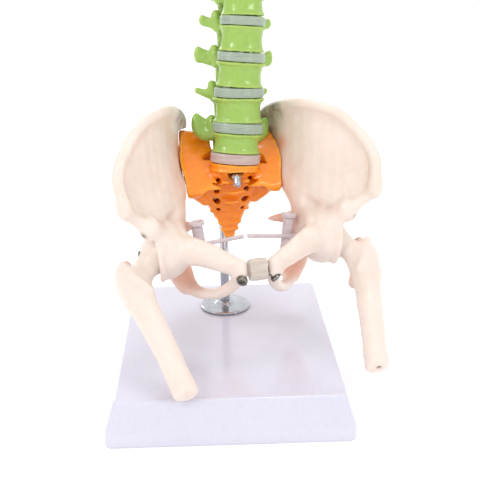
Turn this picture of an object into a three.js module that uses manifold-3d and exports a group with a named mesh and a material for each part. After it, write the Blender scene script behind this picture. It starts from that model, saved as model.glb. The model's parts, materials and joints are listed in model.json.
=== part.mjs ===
// A small teaching skeleton: flexible spinal column, pelvis and half femurs on a chrome rod and a white stand.
// Millimetres, +Z up. The figure faces -Y. Origin: centre of the stand's underside.
import * as THREE from "three";
import { mergeVertices } from "three/addons/utils/BufferGeometryUtils.js";
import Module from "manifold-3d";

// ---- driving dimensions -------------------------------------------------------------------------------------------
const GAP = 0.35; // clearance between pieces that touch
const BASE = { width: 130, length: 164, height: 24, lip: 7, slope: 5.2, wall: 2.6, corner: 4 };
const RIBS = { x: [-20.8, 20.8], y: [-39.7, 0, 39.7], thick: 2.4 };
const ROD = { y: 41.5, radius: 2.85, top: 110.5 };
const FLANGE = { radius: 15.8, edge: 1.6, rise: 4.2, hub: 5.4 };
const TURN = 12.5; // degrees the figure is turned on its rod
const HIP_HEIGHT = 80; // hip axis above the table
const FIGURE_SHIFT = 2.5; // the figure's middle plane beside the rod
const ROD_BEHIND = 40; // rod axis behind the hip centres
const HIP = [49, -3, 0]; // centre of the left femoral head in the figure's frame
const HEAD_RADIUS = 11.5;
const SOCKET_RADIUS = 12.1;
const AXLE = { radius: 1.2, rise: 0.1, tip: 0.9, start: 55 };
const FLEX = { left: 57, right: 56 }; // how far each femur is swung forward
const FEMUR_LENGTH = 88.6;
const SACRAL_BOLT = { at: [0, 18.2, 37], along: [0, -0.52, -0.854], depth: 3.6, radius: 1.5 };
const CORE_RADIUS = 2.1;

const wasm = await Module();
wasm.setup();

// ---- helpers ------------------------------------------------------------------------------------------------------
const V = (x, y, z) => new THREE.Vector3(x, y, z);

function solid(geometry) {
  const g = geometry.clone();
  g.deleteAttribute("normal");
  g.deleteAttribute("uv");
  const m = mergeVertices(g, 1e-4);
  const made = new wasm.Manifold(
    new wasm.Mesh({
      numProp: 3,
      vertProperties: new Float32Array(m.attributes.position.array),
      triVerts: new Uint32Array(m.index.array),
    }),
  );
  if (made.volume() < 0) throw new Error("a solid is inside out");
  return made;
}

function geometryOf(made) {
  const m = made.getMesh();
  const v = new Float32Array(m.numVert * 3);
  for (let i = 0; i < m.numVert; i++) v.set(m.vertProperties.subarray(i * m.numProp, i * m.numProp + 3), i * 3);
  const g = new THREE.BufferGeometry();
  g.setAttribute("position", new THREE.BufferAttribute(v, 3));
  g.setIndex(new THREE.BufferAttribute(new Uint32Array(m.triVerts), 1));
  g.computeVertexNormals();
  return g;
}

const join = (parts) => parts.reduce((a, b) => a.add(b));
const cut = (body, tools) => tools.reduce((a, b) => a.subtract(b), body);

// A closed solid from a stack of rings with the same number of points.
function loft(rings) {
  const n = rings[0].length;
  const points = [];
  const index = [];
  rings.forEach((ring) => ring.forEach((p) => points.push(p.x, p.y, p.z)));
  for (let k = 0; k + 1 < rings.length; k++)
    for (let i = 0; i < n; i++) {
      const a = k * n + i;
      const b = k * n + ((i + 1) % n);
      index.push(a, b, b + n, a, b + n, a + n);
    }
  const cap = (k, flip) => {
    const c = points.length / 3;
    const mid = rings[k].reduce((s, p) => s.add(p), V(0, 0, 0)).multiplyScalar(1 / n);
    points.push(mid.x, mid.y, mid.z);
    for (let i = 0; i < n; i++) {
      const a = k * n + i;
      const b = k * n + ((i + 1) % n);
      if (flip) index.push(c, b, a);
      else index.push(c, a, b);
    }
  };
  cap(0, true);
  cap(rings.length - 1, false);
  const g = new THREE.BufferGeometry();
  g.setAttribute("position", new THREE.Float32BufferAttribute(points, 3));
  g.setIndex(index);
  const made = new wasm.Mesh({ numProp: 3, vertProperties: new Float32Array(points), triVerts: new Uint32Array(index) });
  const test = new wasm.Manifold(made);
  if (test.volume() < 0) {
    for (let i = 0; i < index.length; i += 3) [index[i + 1], index[i + 2]] = [index[i + 2], index[i + 1]];
    g.setIndex(index);
  }
  return solid(g);
}

// A tapering bar along a line of points: each point has a radius, or a pair for an oval section.
function bar(points, radii, sides = 8, side = V(1, 0, 0)) {
  const p = points.map((q) => V(...q));
  return loft(
    p.map((c, i) => {
      const t = V(0, 0, 0).subVectors(p[Math.min(i + 1, p.length - 1)], p[Math.max(i - 1, 0)]).normalize();
      const u = side.clone().addScaledVector(t, -side.dot(t)).normalize();
      const w = V(0, 0, 0).crossVectors(t, u);
      const r = Array.isArray(radii[i]) ? radii[i] : [radii[i], radii[i]];
      return Array.from({ length: sides }, (_, k) => {
        const a = ((k + 0.5) / sides) * 2 * Math.PI;
        return c.clone().addScaledVector(u, Math.cos(a) * r[0]).addScaledVector(w, Math.sin(a) * r[1]);
      });
    }),
  );
}

// A curved plate through a grid of points, with its thickness at each point.
function plate(grid, thick) {
  const rows = grid.length;
  const cols = grid[0].length;
  const p = grid.map((row) => row.map((q) => V(...q)));
  const at = (r, c) => p[Math.min(Math.max(r, 0), rows - 1)][Math.min(Math.max(c, 0), cols - 1)];
  const points = [];
  for (const s of [1, -1])
    for (let r = 0; r < rows; r++)
      for (let c = 0; c < cols; c++) {
        const n = V(0, 0, 0)
          .crossVectors(at(r, c + 1).clone().sub(at(r, c - 1)), at(r + 1, c).clone().sub(at(r - 1, c)))
          .normalize();
        const q = p[r][c].clone().addScaledVector(n, (s * thick[r][c]) / 2);
        points.push(q.x, q.y, q.z);
      }
  const id = (k, r, c) => k * rows * cols + r * cols + c;
  const index = [];
  for (let r = 0; r + 1 < rows; r++)
    for (let c = 0; c + 1 < cols; c++) {
      index.push(id(0, r, c), id(0, r, c + 1), id(0, r + 1, c + 1), id(0, r, c), id(0, r + 1, c + 1), id(0, r + 1, c));
      index.push(id(1, r, c), id(1, r + 1, c + 1), id(1, r, c + 1), id(1, r, c), id(1, r + 1, c), id(1, r + 1, c + 1));
    }
  const rim = [];
  for (let c = 0; c + 1 < cols; c++) rim.push([0, c]);
  for (let r = 0; r + 1 < rows; r++) rim.push([r, cols - 1]);
  for (let c = cols - 1; c > 0; c--) rim.push([rows - 1, c]);
  for (let r = rows - 1; r > 0; r--) rim.push([r, 0]);
  rim.forEach(([r, c], i) => {
    const [r2, c2] = rim[(i + 1) % rim.length];
    index.push(id(0, r, c), id(1, r2, c2), id(0, r2, c2), id(0, r, c), id(1, r, c), id(1, r2, c2));
  });
  const g = new THREE.BufferGeometry();
  g.setAttribute("position", new THREE.Float32BufferAttribute(points, 3));
  const test = new wasm.Manifold(
    new wasm.Mesh({ numProp: 3, vertProperties: new Float32Array(points), triVerts: new Uint32Array(index) }),
  );
  if (test.volume() < 0)
    for (let i = 0; i < index.length; i += 3) [index[i + 1], index[i + 2]] = [index[i + 2], index[i + 1]];
  g.setIndex(index);
  return solid(g);
}

function ball(c, r, scale = [1, 1, 1], w = 14, h = 9) {
  const g = new THREE.SphereGeometry(r, w, h);
  g.scale(...scale);
  g.translate(...c);
  return solid(g);
}

// A straight round bar between two points.
function pin(a, b, r, sides = 16) {
  const p = V(...a);
  const q = V(...b);
  const g = new THREE.CylinderGeometry(r, r, p.distanceTo(q), sides);
  g.applyQuaternion(new THREE.Quaternion().setFromUnitVectors(V(0, 1, 0), q.clone().sub(p).normalize()));
  g.translate((a[0] + b[0]) / 2, (a[1] + b[1]) / 2, (a[2] + b[2]) / 2);
  return solid(g);
}

// A turned piece: profile of [radius, height] pairs, set with its axis from a point along a direction.
function turned(profile, at, along, sides = 20) {
  const g = new THREE.LatheGeometry(profile.map((q) => new THREE.Vector2(...q)), sides);
  g.applyQuaternion(new THREE.Quaternion().setFromUnitVectors(V(0, 1, 0), V(...along).normalize()));
  g.translate(...at);
  return solid(g);
}

function box(lo, hi) {
  const g = new THREE.BoxGeometry(hi[0] - lo[0], hi[1] - lo[1], hi[2] - lo[2]);
  g.translate((hi[0] + lo[0]) / 2, (hi[1] + lo[1]) / 2, (hi[2] + lo[2]) / 2);
  return solid(g);
}

// The mirror image across the figure's middle plane.
function mirrored(made) {
  const g = geometryOf(made);
  g.scale(-1, 1, 1);
  const i = g.index.array;
  for (let k = 0; k < i.length; k += 3) [i[k + 1], i[k + 2]] = [i[k + 2], i[k + 1]];
  return solid(g);
}

function placed(made, matrix) {
  const g = geometryOf(made);
  g.applyMatrix4(matrix);
  return solid(g);
}

// ---- materials ----------------------------------------------------------------------------------------------------
const paint = (color, roughness, metalness = 0) => new THREE.MeshStandardMaterial({ color, roughness, metalness });
const LOOK = {
  white: paint(0xe9e8f2, 0.25),
  chrome: paint(0xc9ccd2, 0.15, 1),
  bone: paint(0xf3e3d8, 0.4),
  orange: paint(0xf5913a, 0.35),
  green: paint(0xa5cb66, 0.32),
  yellow: paint(0xe8c95a, 0.32),
  blue: paint(0x6fa3cf, 0.32),
  disc: paint(0xafbdb5, 0.4),
  pinkdisc: paint(0xcdbbb4, 0.4),
  pad: paint(0xcfc6bb, 0.45),
  nylon: paint(0xf1eaea, 0.45),
  steel: paint(0x8f8d88, 0.3, 1),
  core: paint(0xe3dccb, 0.5),
};

const root = new THREE.Group();
const figure = new THREE.Group();
figure.rotation.z = THREE.MathUtils.degToRad(TURN);
const shift = V(FIGURE_SHIFT, -ROD_BEHIND, 0).applyEuler(figure.rotation);
figure.position.set(shift.x, ROD.y + shift.y, HIP_HEIGHT);
root.add(figure);

function add(name, made, look, group = figure) {
  const mesh = new THREE.Mesh(geometryOf(made), LOOK[look]);
  mesh.name = name;
  group.add(mesh);
}

// ---- stand --------------------------------------------------------------------------------------------------------
function rounded(width, length, corner, z) {
  const ring = [];
  [
    [1, 1, 0],
    [-1, 1, 90],
    [-1, -1, 180],
    [1, -1, 270],
  ].forEach(([sx, sy, start]) => {
    for (let k = 0; k < 3; k++) {
      const a = THREE.MathUtils.degToRad(start + k * 45);
      ring.push(
        V(sx * (width / 2 - corner) + Math.cos(a) * corner, sy * (length / 2 - corner) + Math.sin(a) * corner, z),
      );
    }
  });
  return ring;
}
{
  const { width, length, height, lip, slope, wall, corner } = BASE;
  const shell = loft([
    rounded(width, length, corner, 0),
    rounded(width, length, corner, lip),
    rounded(width - 2 * slope, length - 2 * slope, corner, height - 1.2),
    rounded(width - 2 * slope - 1.6, length - 2 * slope - 1.6, corner - 0.8, height),
  ]);
  const hollow = loft([
    rounded(width - 2 * wall, length - 2 * wall, corner - 1.5, -1),
    rounded(width - 2 * wall, length - 2 * wall, corner - 1.5, lip),
    rounded(width - 2 * slope - 2 * wall, length - 2 * slope - 2 * wall, corner - 1.5, height - wall),
  ]);
  const inside = 2 * wall + 2 * slope - 2;
  const ribs = [
    ...RIBS.x.map((x) =>
      box([x - RIBS.thick / 2, -(length - inside) / 2, 0], [x + RIBS.thick / 2, (length - inside) / 2, height - 1]),
    ),
    ...RIBS.y.map((y) =>
      box([-(width - inside) / 2, y - RIBS.thick / 2, 0], [(width - inside) / 2, y + RIBS.thick / 2, height - 1]),
    ),
  ];
  const keep = ribs.map((r) => r.intersect(shell));
  const socket = pin([0, ROD.y, height - 14], [0, ROD.y, height - 1], 7);
  add(
    "base",
    cut(join([cut(shell, [hollow]), ...keep, socket]), [pin([0, ROD.y, height - 12], [0, ROD.y, height + 1], ROD.radius + GAP)]),
    "white",
    root,
  );
  const top = height + GAP;
  add(
    "flange",
    cut(
      turned(
        [
          [0, 0],
          [FLANGE.radius, 0],
          [FLANGE.radius, FLANGE.edge * 0.5],
          [FLANGE.radius - 1.2, FLANGE.edge],
          [FLANGE.radius * 0.55, FLANGE.edge + 0.7],
          [FLANGE.hub + 0.6, FLANGE.rise - 0.6],
          [FLANGE.hub - 1, FLANGE.rise],
          [0, FLANGE.rise],
        ],
        [0, ROD.y, top],
        [0, 0, 1],
        20,
      ),
      [pin([0, ROD.y, top - 1], [0, ROD.y, top + 8], ROD.radius + 0.08, 16)],
    ),
    "chrome",
    root,
  );
  add("rod", pin([0, ROD.y, height - 11], [0, ROD.y, ROD.top], ROD.radius, 16), "chrome", root);
}

// ---- spine levels, from the sacrum up -----------------------------------------------------------------------------
// Disc centres in the figure's frame follow one curve; each vertebra sits between two of them.
const SPINE = new THREE.CatmullRomCurve3(
  [
    [1, 21.5, 44.5],
    [3, 23, 62],
    [4.3, 24.5, 82],
    [6.3, 26, 101.5],
    [8, 28, 121],
    [9, 30.5, 140],
    [9, 36, 180],
    [8, 41, 225],
    [7, 40, 262],
    [6, 33, 300],
    [5.5, 27, 325],
    [5.5, 26, 346],
    [5.5, 28, 372],
  ].map((q) => V(...q)),
);
// name, height from disc centre to disc centre, body width, body depth, disc thickness below it
const LEVELS = [
  ["L5", 17.5, 30.0, 20.5, 5.6],
  ["L4", 20.0, 30.0, 20.5, 5.6],
  ["L3", 19.6, 28.6, 20.0, 5.2],
  ["L2", 19.6, 27.2, 19.6, 5.0],
  ["L1", 19.0, 25.8, 19.2, 4.8],
  ["T12", 16.2, 24.6, 18.6, 3.6],
  ["T11", 15.6, 23.4, 18.2, 3.2],
  ["T10", 15.0, 22.2, 18.0, 3.0],
  ["T9", 14.5, 21.2, 17.8, 2.8],
  ["T8", 14.1, 20.2, 17.4, 2.7],
  ["T7", 13.6, 19.4, 17.0, 2.6],
  ["T6", 13.1, 18.6, 16.4, 2.5],
  ["T5", 12.7, 17.8, 15.8, 2.5],
  ["T4", 12.3, 17.2, 15.0, 2.4],
  ["T3", 12.0, 17.2, 14.0, 2.4],
  ["T2", 11.6, 17.8, 13.0, 2.4],
  ["T1", 11.3, 18.6, 12.4, 2.4],
  ["C7", 9.9, 17.6, 11.2, 2.6],
  ["C6", 9.3, 16.8, 10.6, 2.6],
  ["C5", 9.1, 16.0, 10.2, 2.6],
  ["C4", 9.0, 15.4, 10.0, 2.6],
  ["C3", 9.0, 14.8, 9.8, 2.6],
  ["C2", 12.0, 14.4, 9.6, 2.6],
];

// Where along the curve each disc centre lies.
const lengths = SPINE.getLengths(2000);
function pointAt(distance) {
  let k = 1;
  while (k < lengths.length - 1 && lengths[k] < distance) k++;
  return SPINE.getPoint((k - 1 + (distance - lengths[k - 1]) / (lengths[k] - lengths[k - 1])) / 2000);
}
let along = 0;
const discs = [];
const canalPoints = [];
const NO_DISC = ["T1", "T2"];
const centres = [pointAt(0)];
for (const [, height] of LEVELS) {
  along += height;
  centres.push(pointAt(along));
}

// A frame whose Z runs from a to b, X to the figure's left and Y to its back.
function frameBetween(a, b) {
  const z = b.clone().sub(a).normalize();
  const x = V(1, 0, 0).addScaledVector(z, -z.x).normalize();
  const y = V(0, 0, 0).crossVectors(z, x);
  return new THREE.Matrix4().makeBasis(x, y, z).setPosition(a.clone().add(b).multiplyScalar(0.5));
}

// The outline of a vertebral body: an oval, flattened at the back.
function outline(width, depth, z, sides = 14, lean = 0) {
  return Array.from({ length: sides }, (_, k) => {
    const a = ((k + 0.5) / sides) * 2 * Math.PI;
    const back = Math.max(0, Math.sin(a));
    const y = (Math.sin(a) * depth * (1 - 0.14 * back * back)) / 2;
    return V((Math.cos(a) * width) / 2, y, z + lean * (y / depth));
  });
}

// One vertebra in its own frame: body at the origin, arch and processes behind it.
function vertebra(width, depth, height, canal, form) {
  const h = height / 2;
  const back = depth / 2;
  const cy = back + canal * 0.72;
  const z = form.archZ * height;
  const ah = form.archHeight * height * 0.5;
  const oval = (path, r, rx) => {
    for (let k = 0; k <= form.sides; k++) {
      const a = (k / form.sides) * 2 * Math.PI;
      const q = [Math.cos(a) * r * rx, Math.sin(a) * r * 0.95];
      if (k === 0) path.moveTo(...q);
      else path.lineTo(...q);
    }
  };
  const prism = (r, tall) => {
    const shape = new THREE.Shape();
    oval(shape, r, 1.14);
    const g = new THREE.ExtrudeGeometry(shape, { depth: 2 * tall, bevelEnabled: false });
    g.translate(0, cy, z - tall);
    return solid(g);
  };
  const parts = [
    loft(
      (form.waist < 1 ? [-h, 0, h] : [-h, h]).map((level) => {
        const w = level === 0 ? form.waist : 1;
        return outline(width * w, depth * w, level, 10);
      }),
    ),
    prism(canal + form.archWall, ah),
  ];
  for (const s of [1, -1]) {
    const t = form.transverse;
    const root = [s * canal * 1.1, back + canal * 0.35, z];
    parts.push(
      bar([root, [s * t.reach, root[1] + t.back, z + t.up]], [[t.thick, t.tall * 0.8], [t.thick * 0.7, t.tall]], 4, V(0, 1, 0)),
    );
    const f = form.facet;
    if (f) parts.push(
      bar(
        [
          [s * f.out * 0.8, cy + f.behind * 1.2, -h - f.down],
          [s * f.out, cy + f.behind * 0.6, h + f.up],
        ],
        [f.r, f.r],
        5,
      ),
    );
  }
  const p = form.spinous;
  parts.push(
    bar(
      [
        [0, cy + canal, z],
        [0, cy + canal + p.length, z - p.drop],
      ],
      [
        [p.thick * 0.8, p.tall],
        [p.thick * 0.8, p.tall * 0.8],
      ],
      4,
    ),
  );
  return cut(join(parts), [prism(canal, height * 2)]);
}

const LUMBAR = {
  sides: 6,
  waist: 0.87,
  archZ: 0.24,
  archHeight: 0.5,
  archWall: 2.6,
  spinous: { length: 13, drop: 2.5, thick: 4, tall: 6.5 },
};
const THORACIC = {
  sides: 6,
  waist: 1,
  archZ: 0.12,
  archHeight: 0.66,
  archWall: 2.0,
  spinous: { length: 13, drop: 8, thick: 3, tall: 3.4 },
};
const CERVICAL = {
  sides: 6,
  waist: 1,
  archZ: 0.0,
  archHeight: 0.62,
  archWall: 1.6,
  spinous: { length: 8, drop: 2.5, thick: 3.4, tall: 2.2 },
};
const REACH = { L5: 25, L4: 22.6, L3: 24.2, L2: 22.4, L1: 20.5, T12: 14, T11: 14.5, C7: 16, C2: 12.5 };

function formOf(name, k) {
  if (name[0] === "L")
    return {
      ...LUMBAR,
      transverse: { reach: REACH[name], back: name === "L5" ? 3.6 : 5, up: name === "L5" ? 1.6 : 3.6, thick: 3.2, tall: name === "L5" ? 4.6 : 3.2 },
      facet: { out: 9.2, behind: 3.4, up: 1.2, down: 0.2, r: 2.9 },
    };
  if (name[0] === "T")
    return {
      ...THORACIC,
      spinous: { ...THORACIC.spinous, drop: 5 + 5 * Math.sin(((k - 5) / 11) * Math.PI), length: 12 },
      transverse: { reach: REACH[name] || 16.5, back: 7, up: 1.6, thick: 2.8, tall: 2.5 },
    };
  return {
    ...CERVICAL,
    spinous: { ...CERVICAL.spinous, length: name === "C7" ? 12 : name === "C2" ? 9 : 7 },
    transverse: { reach: REACH[name] || 13.5, back: -1.5, up: 0.6, thick: 2.8, tall: 1.9 },
  };
}

LEVELS.forEach(([name, , width, depth, below], k) => {
  const above = k + 1 < LEVELS.length ? LEVELS[k + 1][4] : 0;
  const low = centres[k];
  const high = centres[k + 1];
  const whole = low.distanceTo(high);
  const canal = name[0] === "L" ? 5.4 : name[0] === "T" ? 4.4 : 5.0;
  const height = whole - (below + above) / 2 - 2 * GAP;
  const frame = frameBetween(low, high).multiply(new THREE.Matrix4().makeTranslation(0, 0, (below - above) / 4));
  const look = name[0] === "L" ? "green" : name[0] === "T" ? "yellow" : "blue";
  let made;
  if (name === "C2") {
    // The axis: a low body, and the dens that the atlas turns on.
    const body = height * 0.62;
    made = placed(
      vertebra(width, depth, body, canal, formOf(name, k)),
      new THREE.Matrix4().makeTranslation(0, 0, -(height - body) / 2),
    );
    made = join([made, bar([[0, 0, -1], [0, 0, 7], [0, -0.2, 9]], [2.6, 2.5, 1.2], 8)]);
  } else made = vertebra(width, depth, height, canal, formOf(name, k));
  add("vertebra_" + name, placed(made, frame), look);
  canalPoints.push(V(0, depth / 2 + canal * 0.72, 0).applyMatrix4(frame));

  const under = k === 0 ? "S1" : LEVELS[k - 1][0];
  if (name[0] !== "C" && !NO_DISC.includes(name)) {
    const before = k === 0 ? high.clone().sub(low) : high.clone().sub(centres[k - 1]);
    const size = k === 0 ? [29.6, 20.4] : [(width + LEVELS[k - 1][2]) / 2, (depth + LEVELS[k - 1][3]) / 2];
    const t = below / 2;
    const tilt = frameBetween(low.clone().sub(before), low.clone().add(before)).setPosition(low);
    const disc = loft([
      outline(size[0] * 0.94, size[1] * 0.94, -t, 12),
      outline(size[0], size[1], 0, 12),
      outline(size[0] * 0.94, size[1] * 0.94, t, 12),
    ]);
    discs.push([`disc_${name}_${under}`, placed(disc, tilt), k === 0 ? "pinkdisc" : "disc"]);
  }
});

// ---- atlas: a ring round the dens ---------------------------------------------------------------------------------
{
  const n = centres.length;
  const frame = frameBetween(centres[n - 2], centres[n - 1]);
  const shape = new THREE.Shape();
  shape.absellipse(0, 3.9, 10.2, 9.4, 0, 2 * Math.PI);
  const hole = new THREE.Path();
  hole.absellipse(0, 3.9, 7.4, 7.2, 0, 2 * Math.PI, true);
  shape.holes.push(hole);
  const ring = new THREE.ExtrudeGeometry(shape, { depth: 4.6, bevelEnabled: false, curveSegments: 5 });
  ring.translate(0, 0, 2.6);
  const sides = [1, -1].flatMap((s) => [
    bar([[s * 8.8, 0.6, 2.2], [s * 9, 0.6, 8.2]], [[2.8, 3.8], [2.8, 3.8]], 6),
    bar([[s * 9, 1.5, 4.8], [s * 17, 3, 4.2]], [[2.2, 2], [2, 1.9]], 4, V(0, 1, 0)),
  ]);
  const hollow = pin([0, 1.2, -5], [0, 1.2, 15], 4.6, 10);
  add("vertebra_C1", placed(cut(join([solid(ring), ...sides]), [hollow]), frame), "blue");
  canalPoints.push(V(0, 7.2, 6).applyMatrix4(frame));
  canalPoints.push(V(0, 7.4, 11.5).applyMatrix4(frame));
}
discs.forEach(([name, made, look]) => add(name, made, look));

// ---- flexible core in the spinal canal ----------------------------------------------------------------------------
const corePoints = [
  [-0.5, 40, 37.6],
  [0, 38.5, 45],
  ...canalPoints.filter((_, k) => k < 5 || k % 2 === 0 || k === canalPoints.length - 1).map((q) => q.toArray()),
];
add(
  "flexible_core",
  bar(corePoints, corePoints.map(() => CORE_RADIUS), 8),
  "core",
);

// ---- sacrum with the coccyx ---------------------------------------------------------------------------------------
// The joint face between sacrum and hip bone leans a little: x on that face for a given y and z.
const jointFace = (y, z) => 29 - 0.1 * (y - 20) + 0.06 * (z - 38);
function beyondFace(side, offset, low, high, front, back) {
  const ring = (z) =>
    [
      [jointFace(front, z) + offset, front],
      [jointFace(back, z) + offset, back],
      [side > 0 ? 90 : -20, back],
      [side > 0 ? 90 : -20, front],
    ].map(([x, y]) => V(x, y, z));
  return loft([ring(low), ring(high)]);
}
const rodX = -FIGURE_SHIFT;
const onStud = (d) => V(...SACRAL_BOLT.at).addScaledVector(V(...SACRAL_BOLT.along).normalize(), d).toArray();
{
  const ring = (z, half, front, back, bend) =>
    Array.from({ length: 12 }, (_, k) => {
      const a = ((k + 0.5) / 12) * 2 * Math.PI;
      const x = Math.cos(a);
      const y = (front + back) / 2 + (Math.sign(Math.sin(a)) * Math.abs(Math.sin(a)) ** 0.8 * (back - front)) / 2;
      return V(x * half, y + bend * x * x, z);
    });
  const block = loft([
    ring(-9, 2.4, 34, 36.4, 0),
    ring(0, 6, 33, 36.6, 0),
    ring(4, 8.5, 32.4, 39, 0),
    ring(9, 11, 31, 47, -1),
    ring(16, 16, 28, 49.5, -2),
    ring(23, 24.5, 24, 51, -3),
    ring(31, 30.5, 19.5, 51.5, -2.5),
    ring(40, 32, 18.5, 49, -2),
    ring(46, 30, 27, 47, -1),
    ring(48.5, 25, 32, 44, -1),
  ]);
  const low = centres[0];
  const up = centres[1].clone().sub(low);
  const frame = frameBetween(low.clone().sub(up), low.clone().add(up)).setPosition(low);
  const top = -2.8 - GAP;
  const body = placed(
    loft([outline(24, 17, top - 13, 12), outline(27.4, 19, top - 6, 12), outline(29.2, 20, top, 12)]),
    frame,
  );
  const clearance = placed(loft([outline(44, 30, top, 8), outline(44, 30, top + 25, 8)]), frame);
  const crest = bar([[0, 50, 36], [0, 53, 30], [0, 52, 20], [0, 49, 12]], [[2, 2], [2.4, 3], [2.2, 2.6], [1.6, 2]], 6);
  const holes = [
    [9.6, 33],
    [9.0, 24.5],
    [8.2, 17],
  ].flatMap(([x, z]) => [1, -1].map((s) => pin([s * x, 10, z - 2], [s * x, 60, z + 1], 1.8, 6)));
  add(
    "sacrum",
    cut(join([block, body, crest]), [
      clearance,
      box([-15, 26, 42.5], [17, 60, 60]),
      beyondFace(1, 0, 10, 60, 0, 70),
      mirrored(beyondFace(1, 0, 10, 60, 0, 70)),
      pin([rodX, ROD_BEHIND, -20], [rodX, ROD_BEHIND, 31], ROD.radius + GAP, 14),
      pin([-0.5, 40.2, 37], [0, 38, 50], 3.2, 12),
      pin(onStud(-SACRAL_BOLT.depth - 0.3), onStud(16), SACRAL_BOLT.radius + GAP, 12),
      pin(onStud(0), onStud(16), 4.6, 14),
      ...holes,
    ]),
    "orange",
  );
  // The stud ends in the solid bone; a washer and a hexagon nut with a domed end sit on it.
  add("sacral_bolt", pin(onStud(-SACRAL_BOLT.depth), onStud(7), SACRAL_BOLT.radius, 12), "steel");
  const around = pin(onStud(-1), onStud(7.35), SACRAL_BOLT.radius + GAP, 12);
  add("sacral_washer", cut(pin(onStud(0.35), onStud(1.3), 3.5, 20), [around]), "steel");
  const dome = turned(
    [
      [0, 0],
      [2.5, 0],
      [2.5, 2.4],
      [2.1, 3.9],
      [1.2, 4.9],
      [0, 5.3],
    ],
    onStud(4.1),
    SACRAL_BOLT.along,
    16,
  );
  add("sacral_nut", cut(join([pin(onStud(1.65), onStud(4.2), 3.3, 6), dome]), [around]), "steel");
}

// ---- hip bones ----------------------------------------------------------------------------------------------------
const lateral = V(1, 0, -AXLE.rise).normalize();
const alongAxle = (d) => V(...HIP).addScaledVector(lateral, d).toArray();
const anchorLine = [
  [27.4, 2, 14.5],
  [24.6, 0, -7.5],
];
const screwSeats = {
  left: { at: [9.2, -29, -10.8], along: [0.62, -0.25, -0.75] },
  right: { at: [-9.4, -31.4, -10.1], along: [-0.4, -0.85, -0.34] },
};
function hip(side) {
  const crest = [
    [25, 51, 50],
    [25.5, 47, 64],
    [31, 35, 72.5],
    [39, 17, 76.5],
    [54, 3, 71.5],
    [65, -7, 61.5],
    [71.5, -15.5, 48],
    [69.5, -23, 32],
  ];
  const middle = [
    [28, 50, 42],
    [29.5, 43, 50],
    [33, 31, 54],
    [42, 14, 55],
    [52, 2, 51],
    [59.5, -6, 45],
    [64.5, -12, 37],
    [64.5, -18.5, 26],
  ];
  const low = [
    [28, 43, 29],
    [31, 36, 29],
    [34, 27, 29],
    [38.5, 15, 27],
    [44, 6, 24],
    [50, -2, 22],
    [55, -9, 20],
    [56.5, -15, 18],
  ];
  const mix = (a, b, t) => a.map((q, i) => q.map((v, k) => v + (b[i][k] - v) * t));
  const bowl = mix(crest, middle, 0.5).map(([x, y, z]) => [x + 0.8, y + 0.8, z]);
  const wing = plate(
    [crest, bowl, middle, mix(middle, low, 0.5), low],
    [
      [6, 6.5, 6, 5.5, 5.5, 6, 6.5, 6],
      [6, 5.5, 4.6, 3.6, 3.4, 3.8, 4.6, 5.4],
      [6, 5.5, 4.4, 3.2, 3.0, 3.4, 4.4, 5.2],
      [7, 7, 6.5, 5.5, 5, 5, 5.4, 6],
      [7.5, 8.5, 9.5, 9.5, 9, 8, 7.5, 7],
    ],
  );
  const parts = [
    wing,
    ball([47, -2, 1], 17, [1, 1, 1], 12, 8),
    bar([[34, 25, 29], [39, 13, 20], [42, 7, 8]], [[5, 7], [6.5, 8], [8, 9]], 6),
    bar([[56, -13, 19], [50, -5, 6]], [6, 9], 6),
    bar([[39, 12, 8], [38, 13, -8], [34.5, 15, -21], [32, 13, -30]], [[7.5, 8], [6.8, 7.6], [7, 8], [6, 7]], 7),
    bar([[38, 15, 6], [28, 20.5, 5.5], [20.6, 23.4, 5.2]], [[5, 5.5], [3, 2.8], [1.2, 1.2]], 6, V(0, 0, 1)),
    bar([[32, 12, -29], [25, 0, -29.5], [17, -12, -25], [10.5, -22, -16], [10, -26, -9]], [[5.5, 5], [4, 3.4], [3.8, 3], [4, 3.4], [4, 4]], 6),
    bar([[44, -9, 3], [33, -17, 5.5], [21, -24, 2.5], [10, -27.5, -3.5]], [[7.5, 8], [5, 5.5], [4.4, 4.6], [4.6, 5]], 6),
    ball([9.6, -27.5, -7], 1, [4.8, 4.8, 7], 8, 6),
  ];
  const tools = [
    ball(HIP, SOCKET_RADIUS, [1, 1, 1], 14, 9),
    turned(
      [
        [0, 0],
        [16.5, 0],
        [17.5, 4],
        [17.5, 30],
        [0, 30],
      ],
      alongAxle(2.2),
      lateral.toArray(),
      12,
    ),
    pin(alongAxle(-30), alongAxle(5), AXLE.radius + GAP, 10),
  ];
  const medial = loft(
    [20, 50.5].map((z) =>
      [
        [jointFace(12, z) + 0.4, 12],
        [jointFace(70, z) + 0.4, 70],
        [-30, 70],
        [-30, 12],
      ].map(([x, y]) => V(x, y, z)),
    ),
  );
  tools.push(medial, box([-30, -60, -60], [5.3, 10, 60]));
  let made = join(parts);
  if (side < 0) made = mirrored(cut(made, tools));
  else made = cut(made, tools);
  const seat = side > 0 ? screwSeats.left : screwSeats.right;
  const out = V(...seat.along).normalize();
  const from = V(...seat.at);
  return cut(made, [
    pin(from.clone().addScaledVector(out, -9).toArray(), from.clone().addScaledVector(out, 12).toArray(), 1.1 + GAP, 10),
    pin(from.clone().addScaledVector(out, -0.35).toArray(), from.clone().addScaledVector(out, 14).toArray(), 3.4, 12),
  ]);
}
add("hip_left", hip(1), "bone");
add("hip_right", hip(-1), "bone");

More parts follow.
